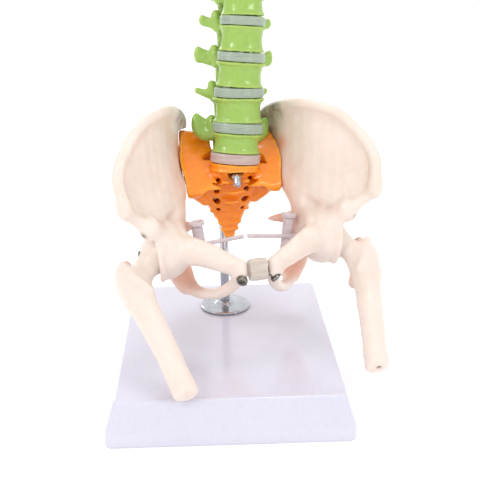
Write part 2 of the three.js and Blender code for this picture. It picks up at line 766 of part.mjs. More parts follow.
// ---- symphysis pad and its screws ---------------------------------------------------------------------------------
add(
  "symphysis_pad",
  loft(
    [
      [-4.9, 0.9],
      [-3, 1],
      [3, 1],
      [4.9, 0.9],
    ].map(([x, s]) =>
      Array.from({ length: 14 }, (_, k) => {
        const a = (k / 14) * 2 * Math.PI;
        return V(x, -27.5 + Math.cos(a) * 5 * s, -6.3 + Math.sin(a) * 6 * s);
      }),
    ),
  ),
  "pad",
);
function screw(seat, head, tall, shank, length) {
  const made = turned(
    [
      [0, -length],
      [shank, -length],
      [shank, 0],
      [head, 0],
      [head, tall * 0.5],
      [head * 0.72, tall],
      [0, tall],
    ],
    [0, 0, 0],
    [0, 1, 0],
    10,
  );
  const slots = [box([-1.6, tall - 1, -0.4], [1.6, tall + 1, 0.4])];
  const turn = new THREE.Quaternion().setFromUnitVectors(V(0, 1, 0), V(...seat.along).normalize());
  return placed(cut(made, slots), new THREE.Matrix4().compose(V(...seat.at), turn, V(1, 1, 1)));
}
for (const side of ["left", "right"]) add("symphysis_screw_" + side, screw(screwSeats[side], 2.9, 2.3, 1.1, 4), "steel");

// ---- femurs, axles, anchors and hip screws ------------------------------------------------------------------------
function femur() {
  const parts = [
    ball([0, 0, 0], HEAD_RADIUS, [1, 1, 1], 14, 9),
    bar([[3, 0, -2], [12.5, 0.3, -10.5], [19, 1, -15]], [8, 6.8, 8.2], 8),
    bar([[21, 3.5, -3.5], [22.3, 2.5, -10], [21.5, 1.5, -18], [19, 1, -26]], [[4.2, 5], [6.2, 7], [7.2, 8], [7.4, 7.8]], 8),
    bar(
      [[16.5, 1, -16], [17.5, 0.5, -26], [15.5, 0, -37], [12.8, -0.8, -52], [9.6, -0.8, -70], [6.5, 0, -FEMUR_LENGTH]],
      [8.2, 8.6, 7.6, 6.9, 6.4, 6.7],
      10,
    ),
    bar([[15, 3, -25], [12, 7.2, -28.5]], [4.8, 2.8], 7),
  ];
  const tools = [
    pin([-14, 0, 0], [12, 0, 0], AXLE.radius + GAP, 10),
    pin([10, 0, 0], [16.5, 0, 0], 3.6, 14),
  ];
  return cut(join(parts), tools);
}
const bare = femur();
const axleTilt = Math.atan(AXLE.rise);
for (const [side, s] of [
  ["left", 1],
  ["right", -1],
]) {
  const swing = new THREE.Matrix4()
    .makeTranslation(...HIP)
    .multiply(new THREE.Matrix4().makeRotationY(axleTilt))
    .multiply(new THREE.Matrix4().makeRotationX(THREE.MathUtils.degToRad(-FLEX[side])));
  const own = (made) => (s > 0 ? made : mirrored(made));
  add("femur_" + side, own(placed(bare, swing)), "bone");
  add("hip_screw_" + side, own(placed(screw({ at: [10.4, 0, 0], along: [1, 0, 0] }, 3.0, 2.2, 1.05, 4), swing)), "steel");
  add("hip_axle_" + side, own(pin(alongAxle(6), alongAxle(-(HIP[0] - AXLE.tip)), AXLE.radius, 10)), "nylon");
  const [a, b] = anchorLine;
  const t = V(...b).sub(V(...a)).normalize();
  const anchor = turned(
    [
      [0, 0],
      [4.4, 0],
      [4.4, 2.4],
      [3.2, 3],
      [3.2, 21.6],
      [2.7, 22.2],
      [0, 22.2],
    ],
    a,
    t.toArray(),
    12,
  );
  add("hip_anchor_" + side, own(cut(anchor, [pin(alongAxle(-40), alongAxle(0), AXLE.radius + GAP, 10)])), "nylon");
}

export default root;
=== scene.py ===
import json
import math

import bpy
import numpy as np
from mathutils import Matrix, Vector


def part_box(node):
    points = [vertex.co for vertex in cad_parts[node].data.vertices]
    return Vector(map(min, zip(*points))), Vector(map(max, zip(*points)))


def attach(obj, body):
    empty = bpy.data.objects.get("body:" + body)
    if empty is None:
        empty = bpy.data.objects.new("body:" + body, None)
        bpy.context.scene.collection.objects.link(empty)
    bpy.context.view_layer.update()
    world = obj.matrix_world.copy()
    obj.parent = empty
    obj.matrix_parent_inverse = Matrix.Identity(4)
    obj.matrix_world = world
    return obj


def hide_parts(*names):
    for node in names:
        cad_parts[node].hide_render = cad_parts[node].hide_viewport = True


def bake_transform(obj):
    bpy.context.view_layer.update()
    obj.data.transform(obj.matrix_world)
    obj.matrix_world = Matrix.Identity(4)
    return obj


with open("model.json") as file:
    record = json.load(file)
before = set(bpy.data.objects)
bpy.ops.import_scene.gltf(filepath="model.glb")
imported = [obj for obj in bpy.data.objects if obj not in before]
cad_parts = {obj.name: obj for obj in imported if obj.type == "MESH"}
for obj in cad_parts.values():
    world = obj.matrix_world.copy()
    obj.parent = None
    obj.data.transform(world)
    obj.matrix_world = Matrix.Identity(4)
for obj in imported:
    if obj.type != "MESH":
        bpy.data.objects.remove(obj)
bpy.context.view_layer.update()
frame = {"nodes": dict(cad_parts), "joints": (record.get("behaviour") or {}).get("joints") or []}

import openvdb
from mathutils import Matrix, Vector

bl_info = {
    "name": "Human skeleton model",
    "version": (1, 0, 0),
    "blender": (4, 5, 0),
    "location": "3D View > Sidebar > Skeleton",
    "description": "Builds a small flexible spine with pelvis and half femurs on a white stand",
    "category": "Add Mesh",
}

MM = 0.001
JOINTS = {joint["name"]: joint for joint in frame["joints"]}
COLUMN = [j for j in frame["joints"] if j["name"].startswith(("bow_", "lean_"))]

# The shapes below are worked in millimetres in the figure's own frame: X to its left hand, Y to its back,
# Z up, with the centres of the femoral heads at (+-HIP_X, HIP_Y, 0).
HIP_X = 49.0
HIP_Y = -3.0
HEAD_RADIUS = 11.5
SOCKET_RADIUS = 12.1
AXLE_RISE = 0.1
AXLE_RADIUS = 1.2
FEMUR_FLEX = {"left": 57.0, "right": 56.0}
FEMUR_LENGTH = 88.6
ROD_IN_FIGURE = (-2.5, 40.0)
ROD_RADIUS = 2.85
BOLT_AT = (0.0, 18.2, 37.0)
BOLT_ALONG = (0.0, -0.52, -0.854)
BOLT_DEPTH = 3.6
BOLT_RADIUS = 1.5
GAP = 0.35
CORE_RADIUS = 2.05
ANCHOR_TOP = (27.4, 2, 14.5)
ANCHOR_FOOT = (24.6, 0, -7.5)
PAD_CENTRE = (-27.5, -6.3)
PAD_HALF = (4.9, 5.0, 6.0)

# Body width, body depth and the thickness of the disc below, for each vertebra.
BODY = {
    "L5": (30.0, 20.5, 5.6),
    "L4": (30.0, 20.5, 5.6),
    "L3": (28.6, 20.0, 5.2),
    "L2": (27.2, 19.6, 5.0),
    "L1": (25.8, 19.2, 4.8),
    "T12": (24.6, 18.6, 3.6),
    "T11": (23.4, 18.2, 3.2),
    "T10": (22.2, 18.0, 3.0),
    "T9": (21.2, 17.8, 2.8),
    "T8": (20.2, 17.4, 2.7),
    "T7": (19.4, 17.0, 2.6),
    "T6": (18.6, 16.4, 2.5),
    "T5": (17.8, 15.8, 2.5),
    "T4": (17.2, 15.0, 2.4),
    "T3": (17.2, 14.0, 2.4),
    "T2": (17.8, 13.0, 2.4),
    "T1": (18.6, 12.4, 2.4),
    "C7": (17.6, 11.2, 2.6),
    "C6": (16.8, 10.6, 2.6),
    "C5": (16.0, 10.2, 2.6),
    "C4": (15.4, 10.0, 2.6),
    "C3": (14.8, 9.8, 2.6),
    "C2": (14.4, 9.6, 2.6),
}
SACRAL_PLATE = (29.6, 20.4)
CANAL = {"L": 5.4, "T": 4.4, "C": 5.0}
BACK_SHARE = 0.72


# ---- colours ------------------------------------------------------------------------------------------
def linear(red, green, blue):
    """A display colour of 0 to 255 as the linear values that shaders use."""
    return tuple(((v / 255 + 0.055) / 1.055) ** 2.4 if v > 10 else v / 255 / 12.92
                 for v in (red, green, blue))


def scaled(colour, *shares):
    """The colour with its channels multiplied."""
    return tuple(min(1.0, c * s) for c, s in zip(colour, shares))


# ---- places -------------------------------------------------------------------------------------------
def figure_place():
    """The figure's frame in the scene, from the two hip joints."""
    left = Vector(JOINTS["hip_swing_left"]["pos_m"])
    right = Vector(JOINTS["hip_swing_right"]["pos_m"])
    across = left - right
    turn = Matrix.Rotation(math.atan2(across.y, across.x), 4, "Z")
    return Matrix.Translation((left + right) / 2) @ turn @ Matrix.Translation((0, -HIP_Y * MM, 0))


FIGURE = figure_place()
TO_SCENE = FIGURE @ Matrix.Scale(MM, 4)


def in_figure(point):
    return np.array(TO_SCENE.inverted() @ Vector(point))


def facing(point, along):
    """The scene place of a piece made on its own Z axis, set at a point and facing along a direction."""
    return TO_SCENE @ Matrix.Translation(point) @ Vector(along).to_track_quat("Z", "Y").to_matrix().to_4x4()


def circle(radius, height, count):
    """Points evenly round the Z axis."""
    turns = np.linspace(0, 2 * math.pi, count, endpoint=False)
    return [(radius * math.cos(a), radius * math.sin(a), height) for a in turns]


def frame_between(a, b):
    """A frame half way from a to b, with its Z from a to b and its X to the figure's left."""
    z = (b - a) / np.linalg.norm(b - a)
    x = np.array((1.0, 0, 0)) - z * z[0]
    x /= np.linalg.norm(x)
    place = np.eye(4)
    place[:3, 0], place[:3, 1], place[:3, 2], place[:3, 3] = x, np.cross(z, x), z, (a + b) / 2
    return Matrix(place.tolist())


DISC_CENTRES = [in_figure(j["pos_m"]) for j in COLUMN] + [in_figure(JOINTS["head_turn_C2_C1"]["pos_m"])]
LEVELS = [j["child"] for j in COLUMN]


def vertebra_size(index):
    """Width, depth, body height and canal radius of a vertebra, and its frame in the figure."""
    name = LEVELS[index]
    width, depth, below = BODY[name]
    above = BODY[LEVELS[index + 1]][2] if index + 1 < len(LEVELS) else 0
    low, high = DISC_CENTRES[index], DISC_CENTRES[index + 1]
    height = np.linalg.norm(high - low) - (below + above) / 2 - 2 * GAP
    place = frame_between(low, high) @ Matrix.Translation((0, 0, (below - above) / 4))
    return width, depth, float(height), CANAL[name[0]], place


def on_bolt(distance):
    """A point on the sacral stud's axis, counted out from its seat."""
    way = Vector(BOLT_ALONG).normalized()
    return tuple(Vector(BOLT_AT) + way * distance)


def along_axle(distance, side=1):
    """A point on a hip axle, measured outwards from the centre of the femoral head."""
    run = 1 / math.hypot(1, AXLE_RISE)
    return (side * (HIP_X + distance * run), HIP_Y, -distance * run * AXLE_RISE)


# ---- modelling clay: solids as distance fields --------------------------------------------------------
FAR = 5.0
REACH = 3.5


def smooth_min(a, b, soft):
    share = np.clip(0.5 + 0.5 * (b - a) / soft, 0, 1)
    return b + (a - b) * share - soft * share * (1 - share)


def curve(points, spacing):
    """Samples a smooth curve through the points; further columns, such as a radius, go with them."""
    p = np.array(points, float)
    if len(p) == 2:
        ends = np.vstack([2 * p[0] - p[1], p, 2 * p[1] - p[0]])
    else:
        ends = np.vstack([2 * p[0] - p[1], p, 2 * p[-1] - p[-2]])
    samples = []
    for k in range(1, len(ends) - 2):
        a, b, c, d = ends[k - 1 : k + 3]
        steps = max(2, int(np.linalg.norm((c - b)[:3]) / spacing))
        t = np.arange(steps)[:, None] / steps
        samples.append(
            0.5 * (2 * b + (c - a) * t + (2 * a - 5 * b + 4 * c - d) * t**2 + (3 * b - a - 3 * c + d) * t**3)
        )
    return np.vstack([*samples, p[-1:]])


def box_blur(values, count, axis):
    """A running mean of 2 * count + 1 cells along one axis."""
    values = np.moveaxis(values, axis, 0)
    padded = np.concatenate([np.repeat(values[:1], count + 1, 0), values, np.repeat(values[-1:], count, 0)])
    total = np.cumsum(padded, 0, dtype=np.float64)
    width = 2 * count + 1
    return np.moveaxis(((total[width:] - total[:-width]) / width).astype(np.float32), 0, axis)


class Clay:
    """A solid kept as a grid of distances to its surface, negative inside, to add to and carve."""

    def __init__(self, low, high, step):
        self.low = np.array(low, np.float32)
        self.step = step
        count = [int(math.ceil((b - a) / step)) + 1 for a, b in zip(low, high)]
        self.d = np.full(count, FAR, np.float32)
        self.axes = [low[i] + step * np.arange(count[i], dtype=np.float32) for i in range(3)]

    def window(self, low, high):
        spans = []
        for i in range(3):
            size = self.d.shape[i]
            a = min(max(0, int((low[i] - self.low[i]) / self.step)), size)
            b = min(max(a, int((high[i] - self.low[i]) / self.step) + 2), size)
            spans.append(slice(a, b))
        return tuple(spans)

    def grid(self, spans=None):
        spans = spans or tuple(slice(0, n) for n in self.d.shape)
        x, y, z = (self.axes[i][spans[i]] for i in range(3))
        return x[:, None, None], y[None, :, None], z[None, None, :]

    def merge(self, spans, distance, soft):
        self.d[spans] = smooth_min(self.d[spans], distance, soft)

    def carve(self, spans, distance, soft=0.4):
        self.d[spans] = -smooth_min(-self.d[spans], distance, soft)

    def trim(self, distance, soft=0.4):
        """Carves with a distance that is given for the whole grid."""
        self.carve(tuple(slice(0, n) for n in self.d.shape), distance, soft)

    def balls(self, samples, flat=None):
        """Distances to a chain of balls: x, y, z, radius and the stretch along the flat direction."""
        samples = np.array(samples, np.float32)
        widest = samples[:, 3] * np.maximum(1, samples[:, 4])
        low = (samples[:, :3] - widest[:, None]).min(0) - REACH
        high = (samples[:, :3] + widest[:, None]).max(0) + REACH
        spans = self.window(low, high)
        distance = np.full([s.stop - s.start for s in spans], FAR, np.float32)
        for (cx, cy, cz, radius, stretch), size in zip(samples, widest):
            room = size + REACH
            near = self.window((cx - room, cy - room, cz - room), (cx + room, cy + room, cz + room))
            near = tuple(slice(max(s.start, o.start), min(s.stop, o.stop)) for s, o in zip(near, spans))
            if any(s.stop <= s.start for s in near):
                continue
            x, y, z = self.grid(near)
            dx, dy, dz = x - cx, y - cy, z - cz
            square = dx * dx + dy * dy + dz * dz
            if flat is not None and stretch != 1:
                along = dx * flat[0] + dy * flat[1] + dz * flat[2]
                square = square + along * along * (1 / stretch**2 - 1)
            local = tuple(slice(s.start - o.start, s.stop - o.start) for s, o in zip(near, spans))
            distance[local] = np.minimum(distance[local], np.sqrt(np.maximum(square, 0)) - radius)
        return spans, distance

    def stroke(self, points, radii, soft=2.0, flat=None, stretch=1.0, carve=False):
        """Adds, or carves, a tapering bar along a smooth curve, stretched along the flat direction."""
        points = np.array(points, float)
        radii = np.broadcast_to(np.array(radii, float), len(points))
        stretch = np.broadcast_to(np.array(stretch, float), len(points))
        rows = np.column_stack([points, radii, stretch])
        samples = curve(rows, max(self.step, 0.3 * float(np.min(radii)))) if len(points) > 1 else rows
        samples[:, 3] = np.maximum(samples[:, 3], 0.05)
        spans, distance = self.balls(samples, flat)
        (self.carve if carve else self.merge)(spans, distance, soft)

    def sheet(self, rows, thickness, soft=2.0):
        """Adds a curved sheet through rows of points, with its own thickness at each point."""
        across = [np.column_stack([np.array(r, float), np.array(t, float) / 2])
                  for r, t in zip(rows, thickness)]
        spacing = self.step * 1.3
        longest = max(np.linalg.norm(np.diff(a[:, :3], axis=0), axis=1).sum() for a in across)
        count = int(longest / spacing)
        even = []
        for row in across:
            dense = curve(row, spacing * 0.5)
            run = np.concatenate([[0], np.cumsum(np.linalg.norm(np.diff(dense[:, :3], axis=0), axis=1))])
            even.append(np.column_stack([np.interp(np.linspace(0, run[-1], count), run, c) for c in dense.T]))
        lines = [curve(np.array([row[k] for row in even]), spacing) for k in range(count)]
        samples = np.vstack(lines)
        samples = np.column_stack([samples, np.ones(len(samples))])
        self.merge(*self.balls(samples), soft)

    def egg(self, centre, radii, soft=2.0, turn=None, carve=False):
        """Adds, or carves, an ellipsoid; turn is a 3x3 rotation of its axes."""
        reach = max(radii) + REACH
        centre = np.array(centre, float)
        spans = self.window(centre - reach, centre + reach)
        x, y, z = self.grid(spans)
        offset = [x - centre[0], y - centre[1], z - centre[2]]
        if turn is not None:
            offset = [sum(offset[i] * turn[i][k] for i in range(3)) for k in range(3)]
        near = np.sqrt(sum((o / r) ** 2 for o, r in zip(offset, radii))) + 1e-6
        slope = np.sqrt(sum((o / r**2) ** 2 for o, r in zip(offset, radii))) + 1e-6
        (self.carve if carve else self.merge)(spans, near * (near - 1) / slope, soft)

    def half_space(self, point, normal, soft=0.4):
        """Carves away everything on the normal's side of a plane."""
        n = np.array(normal, float) / np.linalg.norm(normal)
        x, y, z = self.grid()
        distance = (x - point[0]) * n[0] + (y - point[1]) * n[1] + (z - point[2]) * n[2]
        self.trim(-distance, soft)

    def hole(self, start, end, radius, soft=0.3, carve=True):
        """Bores, or adds, a straight round bar with flat ends."""
        a, b = np.array(start, float), np.array(end, float)
        half = np.linalg.norm(b - a) / 2
        axis = (b - a) / (2 * half)
        middle = (a + b) / 2
        spans = self.window(np.minimum(a, b) - radius - REACH, np.maximum(a, b) + radius + REACH)
        x, y, z = self.grid(spans)
        dx, dy, dz = x - middle[0], y - middle[1], z - middle[2]
        run = dx * axis[0] + dy * axis[1] + dz * axis[2]
        out = np.sqrt(np.maximum(dx * dx + dy * dy + dz * dz - run * run, 0)) - radius
        distance = np.maximum(out, np.abs(run) - half)
        (self.carve if carve else self.merge)(spans, distance, soft)

    def ripple(self, height, length, seed):
        """Makes the whole surface faintly uneven."""
        random = np.random.default_rng(seed)
        x, y, z = self.grid()
        total = 0
        for _ in range(5):
            k = random.normal(size=3)
            k *= 2 * math.pi / (length * random.uniform(0.7, 1.4)) / np.linalg.norm(k)
            total = total + np.sin(x * k[0] + y * k[1] + z * k[2] + random.uniform(0, 6.3))
        self.d += (height * 0.45) * total.astype(np.float32)

    def hollows(self, cells, reach):
        """How much of the ball round each point is solid: over a half in a hollow, less on an edge. The
        finishes paint shade and highlights from it.
        """
        solid = (self.d < 0).astype(np.float32)
        count = max(1, int(round(reach / self.step / 2)))
        for axis in range(3):
            for _ in range(2):
                solid = box_blur(solid, count, axis)
        i, j, k = (np.clip(np.rint(cells[:, n]).astype(int), 0, self.d.shape[n] - 1) for n in range(3))
        return solid[i, j, k]

    def mesh(self, name, place, reach=3.0, marks=None):
        """Turns the clay into a smooth mesh object; marks adds point attributes by name and function."""
        grid = openvdb.FloatGrid(FAR)
        grid.copyFromArray(self.d)
        cells, quads = grid.convertToQuads(0.0)
        if not len(quads):
            raise RuntimeError(name + " came out empty")
        local = cells * self.step + self.low
        tool = np.array(place)
        points = local @ tool[:3, :3].T + tool[:3, 3]
        a, b, c = (points[quads[:, n]] for n in range(3))
        if np.einsum("ij,ij->", np.cross(b - a, c - a), a - points.mean(0)) < 0:
            quads = quads[:, ::-1]
        obj = mesh_object(name, points, quads)
        # hollow drives painted shade in hollows and painted highlights on edges in the finishes
        values = {"hollow": self.hollows(cells, reach)}
        for key, function in (marks or {}).items():
            values[key] = function(*local.T)
        for key, value in values.items():
            obj.data.attributes.new(key, "FLOAT", "POINT").data.foreach_set("value", value.astype(np.float32))
        return obj


# ---- plain mesh pieces --------------------------------------------------------------------------------
def mesh_object(name, points, faces, smooth=True):
    mesh = bpy.data.meshes.new(name)
    if isinstance(faces, np.ndarray):
        mesh.vertices.add(len(points))
        mesh.vertices.foreach_set("co", np.ascontiguousarray(points, np.float32).ravel())
        mesh.loops.add(faces.size)
        mesh.loops.foreach_set("vertex_index", np.ascontiguousarray(faces, np.int32).ravel())
        mesh.polygons.add(len(faces))
        mesh.polygons.foreach_set("loop_start", np.arange(0, faces.size, faces.shape[1], dtype=np.int32))
        mesh.update(calc_edges=True)
    else:
        mesh.from_pydata([tuple(p) for p in points], [], faces)
    mesh.validate()
    mesh.polygons.foreach_set("use_smooth", [smooth] * len(mesh.polygons))
    obj = bpy.data.objects.new(name, mesh)
    bpy.context.scene.collection.objects.link(obj)
    return obj


def rings_mesh(name, rings, place=Matrix.Identity(4), closed=True):
    """A skin over a stack of rings with equal numbers of points, with its ends closed."""
    count = len(rings[0])
    points = [place @ Vector(p) for ring in rings for p in ring]
    faces = []
    for k in range(len(rings) - 1):
        for i in range(count):
            j = (i + 1) % count
            faces.append((k * count + i, k * count + j, (k + 1) * count + j, (k + 1) * count + i))
    if closed:
        faces.append(tuple(range(count - 1, -1, -1)))
        faces.append(tuple((len(rings) - 1) * count + i for i in range(count)))
    return mesh_object(name, points, faces)


def turned(name, profile, start, along, sides=64):
    """A turned piece: (radius, height) pairs on an axis from a point, in the figure's millimetres."""
    rings = [circle(max(radius, 0.01), height, sides) for radius, height in profile]
    return rings_mesh(name, rings, facing(start, along))


def rounded_profile(corners, radius, steps=4):
    """A profile with its inner corners rounded off."""
    points = [corners[0]]
    for before, corner, after in zip(corners, corners[1:], corners[2:]):
        c = np.array(corner, float)
        back, on = np.array(before, float) - c, np.array(after, float) - c
        reach = min(radius, 0.45 * np.linalg.norm(back), 0.45 * np.linalg.norm(on))
        a = c + back / np.linalg.norm(back) * reach
        b = c + on / np.linalg.norm(on) * reach
        for k in range(steps + 1):
            t = k / steps
            points.append(tuple((1 - t) ** 2 * a + 2 * t * (1 - t) * c + t * t * b))
    points.append(corners[-1])
    return points


# ---- finishes -----------------------------------------------------------------------------------------
def node(tree, kind, **values):
    made = tree.nodes.new(kind)
    for key, value in values.items():
        if hasattr(made, key):
            setattr(made, key, value)
        else:
            made.inputs[key.replace("_", " ").title()].default_value = value
    return made


def ramp(tree, source, stops):
    made = tree.nodes.new("ShaderNodeValToRGB")
    elements = made.color_ramp.elements
    while len(elements) < len(stops):
        elements.new(0.5)
    for element, (place, colour) in zip(elements, stops):
        element.position = place
        element.color = (*colour[:3], 1)
    tree.links.new(source, made.inputs["Fac"])
    return made.outputs["Color"]


def noise(tree, scale, detail=4.0, roughness=0.55, stretch=None):
    place = tree.nodes.new("ShaderNodeTexCoord")
    source = place.outputs["Object"]
    if stretch:
        mapping = tree.nodes.new("ShaderNodeMapping")
        mapping.inputs["Scale"].default_value = stretch
        tree.links.new(source, mapping.inputs["Vector"])
        source = mapping.outputs["Vector"]
    made = node(tree, "ShaderNodeTexNoise", scale=scale, detail=detail, roughness=roughness)
    tree.links.new(source, made.inputs["Vector"])
    return made.outputs["Fac"]


def mix(tree, share, a, b, kind="MIX"):
    made = tree.nodes.new("ShaderNodeMix")
    made.data_type = "RGBA"
    made.blend_type = kind
    for socket, value in ((made.inputs["Factor"], share), (made.inputs[6], a), (made.inputs[7], b)):
        if isinstance(value, bpy.types.NodeSocket):
            tree.links.new(value, socket)
        elif socket.type == "RGBA":
            socket.default_value = (*value[:3], 1)
        else:
            socket.default_value = value
    return made.outputs[2]


def attribute(tree, name):
    made = tree.nodes.new("ShaderNodeAttribute")
    made.attribute_name = name
    return made.outputs["Fac"]


def new_finish(name, **shader):
    """A material with its main shader, whose plain values are set on its own sockets."""
    material = bpy.data.materials.new(name)
    material.use_nodes = True
    tree = material.node_tree
    main = tree.nodes["Principled BSDF"]
    for key, value in shader.items():
        main.inputs[key.replace("_", " ")].default_value = value
    return material, tree, main


def relief(tree, main, source, distance, strength=0.5, under=None):
    bump = node(tree, "ShaderNodeBump", strength=strength, distance=distance)
    tree.links.new(source, bump.inputs["Height"])
    if under:
        tree.links.new(under, bump.inputs["Normal"])
    tree.links.new(bump.outputs["Normal"], main.inputs["Normal"])
    return bump.outputs["Normal"]


def moulded(name, colour, deep, light, rough=0.3, coat=0.25, soft=0.12, glow=(1, 0.6, 0.4), mottle=0.5,
            grain=0.5):
    """Moulded plastic: painted shade in hollows, painted highlight on edges, faint mottling, a slightly
    uneven skin.
    """
    material, tree, main = new_finish(name, Subsurface_Weight=soft, Subsurface_Scale=0.004, Coat_Weight=coat,
                                      Coat_Roughness=0.12, Subsurface_Radius=glow)
    # painted shade and highlight: deep colour in hollows, light colour on edges
    shade = ramp(tree, attribute(tree, "hollow"),
                 [(0.28, light), (0.46, colour), (0.54, colour), (0.72, deep)])
    cloud = noise(tree, 70.0, 5.0)
    pale, dark = scaled(colour, 1.09, 1.05, 1.08), scaled(colour, 0.86, 0.9, 0.84)
    shade = mix(tree, mottle * 0.55, shade, ramp(tree, cloud, [(0.3, dark), (0.7, pale)]), "SOFT_LIGHT")
    fine = ramp(tree, noise(tree, 420.0, 3.0), [(0.32, (0.965,) * 3), (0.68, (1.0,) * 3)])
    tree.links.new(mix(tree, 1.0, shade, fine, "MULTIPLY"), main.inputs["Base Color"])
    gloss = ramp(tree, noise(tree, 150.0, 3.0), [(0.3, (rough * 0.8,) * 3), (0.7, (rough * 1.3,) * 3)])
    tree.links.new(gloss, main.inputs["Roughness"])
    wide = relief(tree, main, noise(tree, 130.0, 2.0), 0.0004, 0.35 * grain)
    relief(tree, main, noise(tree, 900.0, 2.0), 0.00006, 0.5 * grain, under=wide)
    return material


def stained_bone(name, colour, warm, stain, rough):
    """Cream plastic with a painted olive brown stain where the stain attribute is high, painted shade in
    crevices, painted highlights on edges and a painted warm shade from a further point attribute.
    """
    material, tree, main = new_finish(name, Subsurface_Weight=0.18, Subsurface_Scale=0.005, Coat_Weight=0.1,
                                      Coat_Roughness=0.25, Subsurface_Radius=(1.0, 0.55, 0.4))
    pale = scaled(colour, 1.03, 1.03, 1.04)
    # painted shade and highlight: warm darker colour in crevices, pale colour on edges
    shade = ramp(tree, attribute(tree, "hollow"),
                 [(0.25, pale), (0.46, colour), (0.54, colour), (0.78, warm)])
    cloud = noise(tree, 38.0, 6.0, 0.6)
    shade = mix(tree, 0.5, shade,
                ramp(tree, cloud, [(0.35, scaled(colour, 0.93, 0.88, 0.84)), (0.65, pale)]), "MIX")
    streaks = ramp(tree, noise(tree, 240.0, 8.0, 0.7, (1.0, 1.0, 0.35)),
                   [(0.34, (0.35,) * 3), (0.6, (1.0,) * 3)])
    amount = tree.nodes.new("ShaderNodeMath")
    amount.operation = "MULTIPLY"
    amount.use_clamp = True
    tree.links.new(attribute(tree, "stain"), amount.inputs[0])
    tree.links.new(streaks, amount.inputs[1])
    shade = mix(tree, amount.outputs[0], shade, stain)
    # painted warm shade: darker, redder colour where the point attribute read below is high
    blush = tree.nodes.new("ShaderNodeMath")
    blush.operation = "MULTIPLY"
    blush.inputs[1].default_value = 0.75
    tree.links.new(attribute(tree, "blush"), blush.inputs[0])
    shade = mix(tree, blush.outputs[0], shade, scaled(warm, 1.0, 0.62, 0.5))
    fine = ramp(tree, noise(tree, 500.0, 3.0), [(0.3, (0.97,) * 3), (0.7, (1.0,) * 3)])
    tree.links.new(mix(tree, 1.0, shade, fine, "MULTIPLY"), main.inputs["Base Color"])
    gloss = ramp(tree, noise(tree, 110.0, 3.0), [(0.3, (rough * 0.85,) * 3), (0.7, (rough * 1.2,) * 3)])
    tree.links.new(gloss, main.inputs["Roughness"])
    wide = relief(tree, main, noise(tree, 90.0, 3.0), 0.0005, 0.22)
    relief(tree, main, noise(tree, 800.0, 2.0), 0.00005, 0.3, under=wide)
    return material


def soft_plastic(name, colour, deep, rough=0.35, clear=0.25, scale=0.006):
    """Soft see-through plastic: light passes a little way in, with faint level streaks."""
    material, tree, main = new_finish(name, Subsurface_Weight=0.45, Subsurface_Scale=scale, Coat_Weight=0.3,
                                      Coat_Roughness=0.15, Transmission_Weight=clear, IOR=1.42,
                                      Subsurface_Radius=(1.0, 0.9, 0.85))
    level = noise(tree, 60.0, 4.0, 0.5, (1.0, 1.0, 9.0))
    shade = ramp(tree, level, [(0.32, deep), (0.66, colour)])
    specks = ramp(tree, noise(tree, 600.0, 2.0), [(0.3, (0.95,) * 3), (0.7, (1.0,) * 3)])
    tree.links.new(mix(tree, 1.0, shade, specks, "MULTIPLY"), main.inputs["Base Color"])
    gloss = ramp(tree, noise(tree, 200.0, 3.0), [(0.3, (rough * 0.7,) * 3), (0.7, (rough * 1.3,) * 3)])
    tree.links.new(gloss, main.inputs["Roughness"])
    relief(tree, main, noise(tree, 300.0, 3.0), 0.00012, 0.4)
    return material


def metal(name, colour, dark, rough=0.12, brushed=(1.0, 1.0, 1.0), metallic=1.0):
    """Plated or bare metal with faint marks from handling, and streaks in its colour which on the chrome are
    painted reflections.
    """
    material, tree, main = new_finish(name, Metallic=metallic)
    cloud = noise(tree, 220.0, 5.0, 0.6, brushed)
    # colour streaks from dark to colour; on the chrome they are painted reflections
    tree.links.new(ramp(tree, cloud, [(0.3, dark), (0.62, colour)]), main.inputs["Base Color"])
    marks = ramp(tree, noise(tree, 700.0, 4.0, 0.7, brushed),
                 [(0.3, (rough * 0.6,) * 3), (0.75, (rough * 1.8,) * 3)])
    tree.links.new(marks, main.inputs["Roughness"])
    relief(tree, main, noise(tree, 900.0, 3.0, 0.6, brushed), 0.00002, 0.25)
    return material


FINISHES = {}


